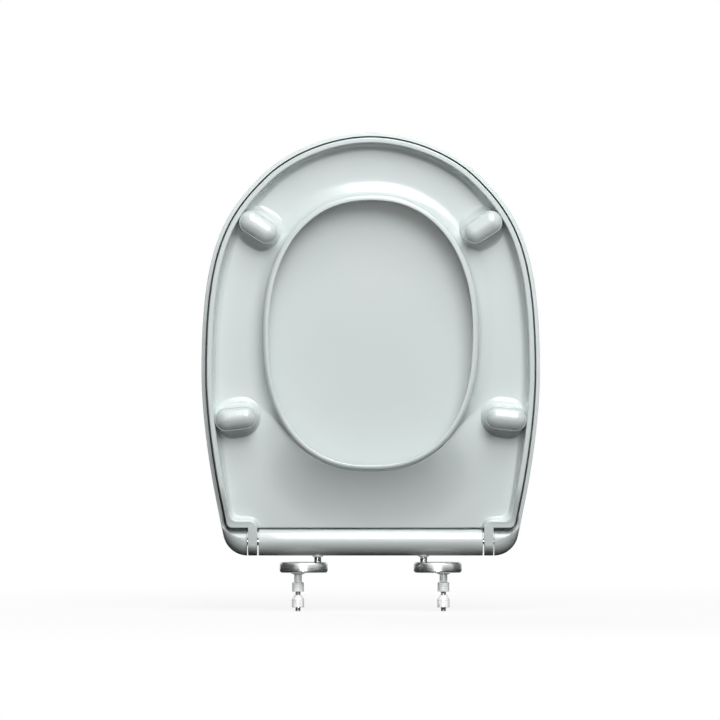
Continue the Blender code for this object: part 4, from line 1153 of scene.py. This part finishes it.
def finishes():
    """One material for each finish of the record."""
    return {
        "gloss_plastic": plastic(
            "white_gloss_plastic", (0.645, 0.715, 0.705), (0.67, 0.73, 0.725), (0.2, 0.26), coat=0.6
        ),
        "bar_plastic": plastic(
            "white_bar_plastic", (0.7, 0.76, 0.75), (0.72, 0.77, 0.765), (0.2, 0.26), coat=0.6
        ),
        "pad_rubber": plastic(
            "pale_pad_rubber", (0.62, 0.69, 0.68), (0.66, 0.72, 0.71), (0.24, 0.32), grain=0.05, coat=0.6
        ),
        "bush_plastic": plastic(
            "bush_plastic", (0.5, 0.52, 0.51), (0.56, 0.57, 0.56), (0.38, 0.48), grain=0.1
        ),
        "damper_plastic": plastic(
            "damper_plastic", (0.05, 0.055, 0.06), (0.08, 0.08, 0.085), (0.4, 0.5), grain=0.2
        ),
        # top paints shade on the discs' level faces, so that they send less light up onto the bar
        "satin_steel": steel(
            "satin_steel", (0.84, 0.89, 0.87), (0.24, 0.32), 0.3, stretch=(0.12, 0.12, 3.0), top=0.16
        ),
        "bright_steel": steel("bright_steel", (0.74, 0.76, 0.76), (0.12, 0.2)),
        "spring_steel": steel("spring_steel", (0.5, 0.51, 0.53), (0.25, 0.35)),
        "fixing_plastic": plastic(
            "white_fixing_plastic", (0.93, 0.94, 0.94), (0.96, 0.965, 0.965), (0.3, 0.4), grain=0.1
        ),
        "gasket_rubber": plastic(
            "gasket_rubber", (0.56, 0.58, 0.58), (0.62, 0.64, 0.64), (0.55, 0.7), grain=0.4
        ),
        "sleeve_rubber": plastic(
            "sleeve_rubber", (0.8, 0.83, 0.83), (0.86, 0.88, 0.88), (0.45, 0.6), grain=0.4
        ),
    }


def dress(piece, material):
    piece.data.materials.clear()
    piece.data.materials.append(material)


# Camera, lamps and surroundings


def build_camera():
    data = bpy.data.cameras.new("camera")
    data.sensor_width = SENSOR_WIDTH
    data.lens = SENSOR_WIDTH * VIEW_DISTANCE / VIEW_WIDTH
    data.clip_end = 100.0
    camera = shown("camera", data)
    camera.location = (VIEW_CENTRE[0], -VIEW_DISTANCE, VIEW_CENTRE[1])
    camera.rotation_euler = (math.pi / 2, 0.0, 0.0)
    bpy.context.scene.camera = camera


def lamp(name, place, size, power, target=LAMP_AIM, spread=180.0, mirrored_by_gloss=True):
    """A softbox that the camera doesn't see; size in metres, power in watts, spread in degrees."""
    data = bpy.data.lights.new(name, "AREA")
    data.shape = "RECTANGLE"
    data.size, data.size_y = size
    data.energy = power
    data.spread = math.radians(spread)
    made = shown(name, data)
    made.location = place
    made.rotation_euler = (Vector(target) - Vector(place)).to_track_quat("-Z", "Y").to_euler()
    made.visible_camera = False
    made.visible_glossy = mirrored_by_gloss


def build_light():
    """Two softboxes in front and above, a weak fill, a lamp behind and a low strip at the fixings."""
    lamp("front_softbox", (0.5, -2.4, 1.85), size=(1.7, 1.6), power=62.0)
    lamp("high_softbox", (0.3, -1.25, 2.6), size=(1.5, 1.0), power=30.0)
    lamp("front_fill", (-0.4, -3.0, 0.4), size=(1.5, 1.0), power=3.0)
    back, aim = (-1.2, 2.4, 0.75), (0.0, 0.0, 0.25)
    lamp("back_softbox", back, size=(1.8, 1.0), power=84.0, target=aim, mirrored_by_gloss=False)
    low, fixings = (0.0, -0.6, -0.02), (0.0, 0.0, -0.02)
    lamp("low_strip", low, size=(0.3, 0.03), power=0.021, target=fixings, spread=8.0)


def seen_rays(tree):
    """One where the ray comes from the camera, or from a gloss or a clear piece."""
    path = tree.nodes.new("ShaderNodeLightPath")
    total = path.outputs["Is Camera Ray"]
    for word in ("Is Glossy Ray", "Is Transmission Ray"):
        total = combined(tree, "MAXIMUM", total, path.outputs[word])
    return total


def combined(tree, operation, first, second):
    step = tree.nodes.new("ShaderNodeMath")
    step.operation = operation
    tree.links.new(first, step.inputs[0])
    tree.links.new(second, step.inputs[1])
    return step.outputs[0]


def surfaced(tree, share, first, second, output):
    """Shows two shaders of a tree on its output, the second by its share."""
    mix = tree.nodes.new("ShaderNodeMixShader")
    tree.links.new(share, mix.inputs["Fac"])
    tree.links.new(first, mix.inputs[1])
    tree.links.new(second, mix.inputs[2])
    tree.links.new(mix.outputs["Shader"], tree.nodes[output].inputs["Surface"])


def build_world():
    """White where it is seen, and a weak even sky for light."""
    world = bpy.data.worlds.new("studio")
    world.use_nodes = True
    tree = world.node_tree
    sky = tree.nodes["Background"]
    seen = tree.nodes.new("ShaderNodeBackground")
    for node, strength in ((sky, SKY_STRENGTH), (seen, 1.0)):
        node.inputs["Color"].default_value = WHITE
        node.inputs["Strength"].default_value = strength
    light, white = sky.outputs["Background"], seen.outputs["Background"]
    surfaced(tree, seen_rays(tree), light, white, "World Output")
    bpy.context.scene.world = world


def build_floor():
    """Pale floor under the bolts' ends that keeps the object's shadow and runs out into white."""
    half, low = FLOOR_HALF_SIDE, cad_box[0][2]
    corners = [(-half, -half, low), (half, -half, low), (half, half, low), (-half, half, low)]
    floor = from_faces("floor", corners, [(0, 1, 2, 3)])
    darkest, palest = FLOOR_TONES
    made, tree, shader = principled("pale_floor", (darkest,) * 3, FLOOR_ROUGHNESS)
    base = shader.inputs["Base Color"]
    varied(tree, noise(tree, FLOOR_NOISE), (darkest,) * 3, (palest,) * 3, base)
    glow = tree.nodes.new("ShaderNodeEmission")
    place = tree.nodes.new("ShaderNodeTexCoord")
    away = tree.nodes.new("ShaderNodeVectorMath")
    away.operation = "LENGTH"
    tree.links.new(place.outputs["Object"], away.inputs[0])
    fade = mapped(tree, away.outputs["Value"], FLOOR_NEAR, FLOOR_FAR, FLOOR_GLOW)
    fade.interpolation_type = "SMOOTHSTEP"
    share = combined(tree, "MULTIPLY", seen_rays(tree), fade.outputs["Result"])
    surfaced(tree, share, shader.outputs["BSDF"], glow.outputs["Emission"], "Material Output")
    dress(floor, made)


def build_flags():
    """A black card under the object and grey cards beside it, out of sight, that darken its edges."""
    low, top = cad_box[0][2] + CARD_LIFT, CARD_TOP
    cards = {
        "under_card": (0.01, [(-1.2, -1.6, low), (1.2, -1.6, low), (1.2, 1.2, low), (-1.2, 1.2, low)]),
        "left_card": (0.3, [(-1.0, -1.0, low), (-1.0, 1.4, low), (-1.0, 1.4, top), (-1.0, -1.0, top)]),
        "right_card": (0.3, [(1.0, -0.2, low), (1.0, 1.4, low), (1.0, 1.4, top), (1.0, -0.2, top)]),
    }
    for name, (tone, corners) in cards.items():
        made, tree, shader = principled(name, (tone,) * 3, roughness=1.0)
        shader.inputs["Specular IOR Level"].default_value = 0.0
        base = shader.inputs["Base Color"]
        varied(tree, noise(tree, CARD_NOISE), (tone * CARD_DARKEST,) * 3, (tone,) * 3, base)
        card = from_faces(name, corners, [(0, 1, 2, 3)])
        card.visible_camera = False
        card.visible_shadow = False
        dress(card, made)


def add(piece, name, body, slot, nodes, materials):
    """Names a piece, gives it its finish and puts it in its node's place."""
    piece.name = name
    dress(piece, materials[slot])
    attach(piece, body)
    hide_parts(*nodes)


def build_object(materials):
    add(build_lid(), "lid_moulding", "lid", "gloss_plastic", ["lid_shell"], materials)
    add(build_seat(), "seat_moulding", "seat", "gloss_plastic", ["seat_ring"], materials)
    add(build_bar(), "bar_tube", "root", "bar_plastic", ["hinge_bar"], materials)
    for name, place in pads():
        add(build_pad(place), f"{name}_moulded", "seat", "pad_rubber", [name], materials)
    fixings = (
        ("rosette", build_rosette, "satin_steel"),
        ("post_socket", build_socket, "fixing_plastic"),
        ("hinge_post", build_post, "bright_steel"),
        ("cone_washer", build_washer, "fixing_plastic"),
        ("spacer_sleeve", build_spacer, "fixing_plastic"),
        ("expansion_sleeve", build_sleeve, "sleeve_rubber"),
        ("cone_nut", build_nut, "fixing_plastic"),
        ("fixing_bolt", build_bolt, "bright_steel"),
    )
    for side, word in SIDES:
        for name, build, slot in fixings:
            add(build(side), f"{word}_{name}_made", "root", slot, [f"{word}_{name}"], materials)


def dress_kept_nodes(materials):
    """Node materials for the solids that stay as they are."""
    kept = {
        "snap_spring": "spring_steel",
        "base_plate": "fixing_plastic",
        "gasket": "gasket_rubber",
        "damper": "damper_plastic",
        "bush": "bush_plastic",
        "lid_buffer": "pad_rubber",
        "shaft": "bright_steel",
    }
    for name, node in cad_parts.items():
        for ending, slot in kept.items():
            if name.endswith(ending):
                for place in node.material_slots:
                    place.material = materials[slot]


def main():
    build_camera()
    build_light()
    build_world()
    build_floor()
    build_flags()
    bpy.context.scene.view_settings.view_transform = "Standard"
    materials = finishes()
    build_object(materials)
    dress_kept_nodes(materials)


main()
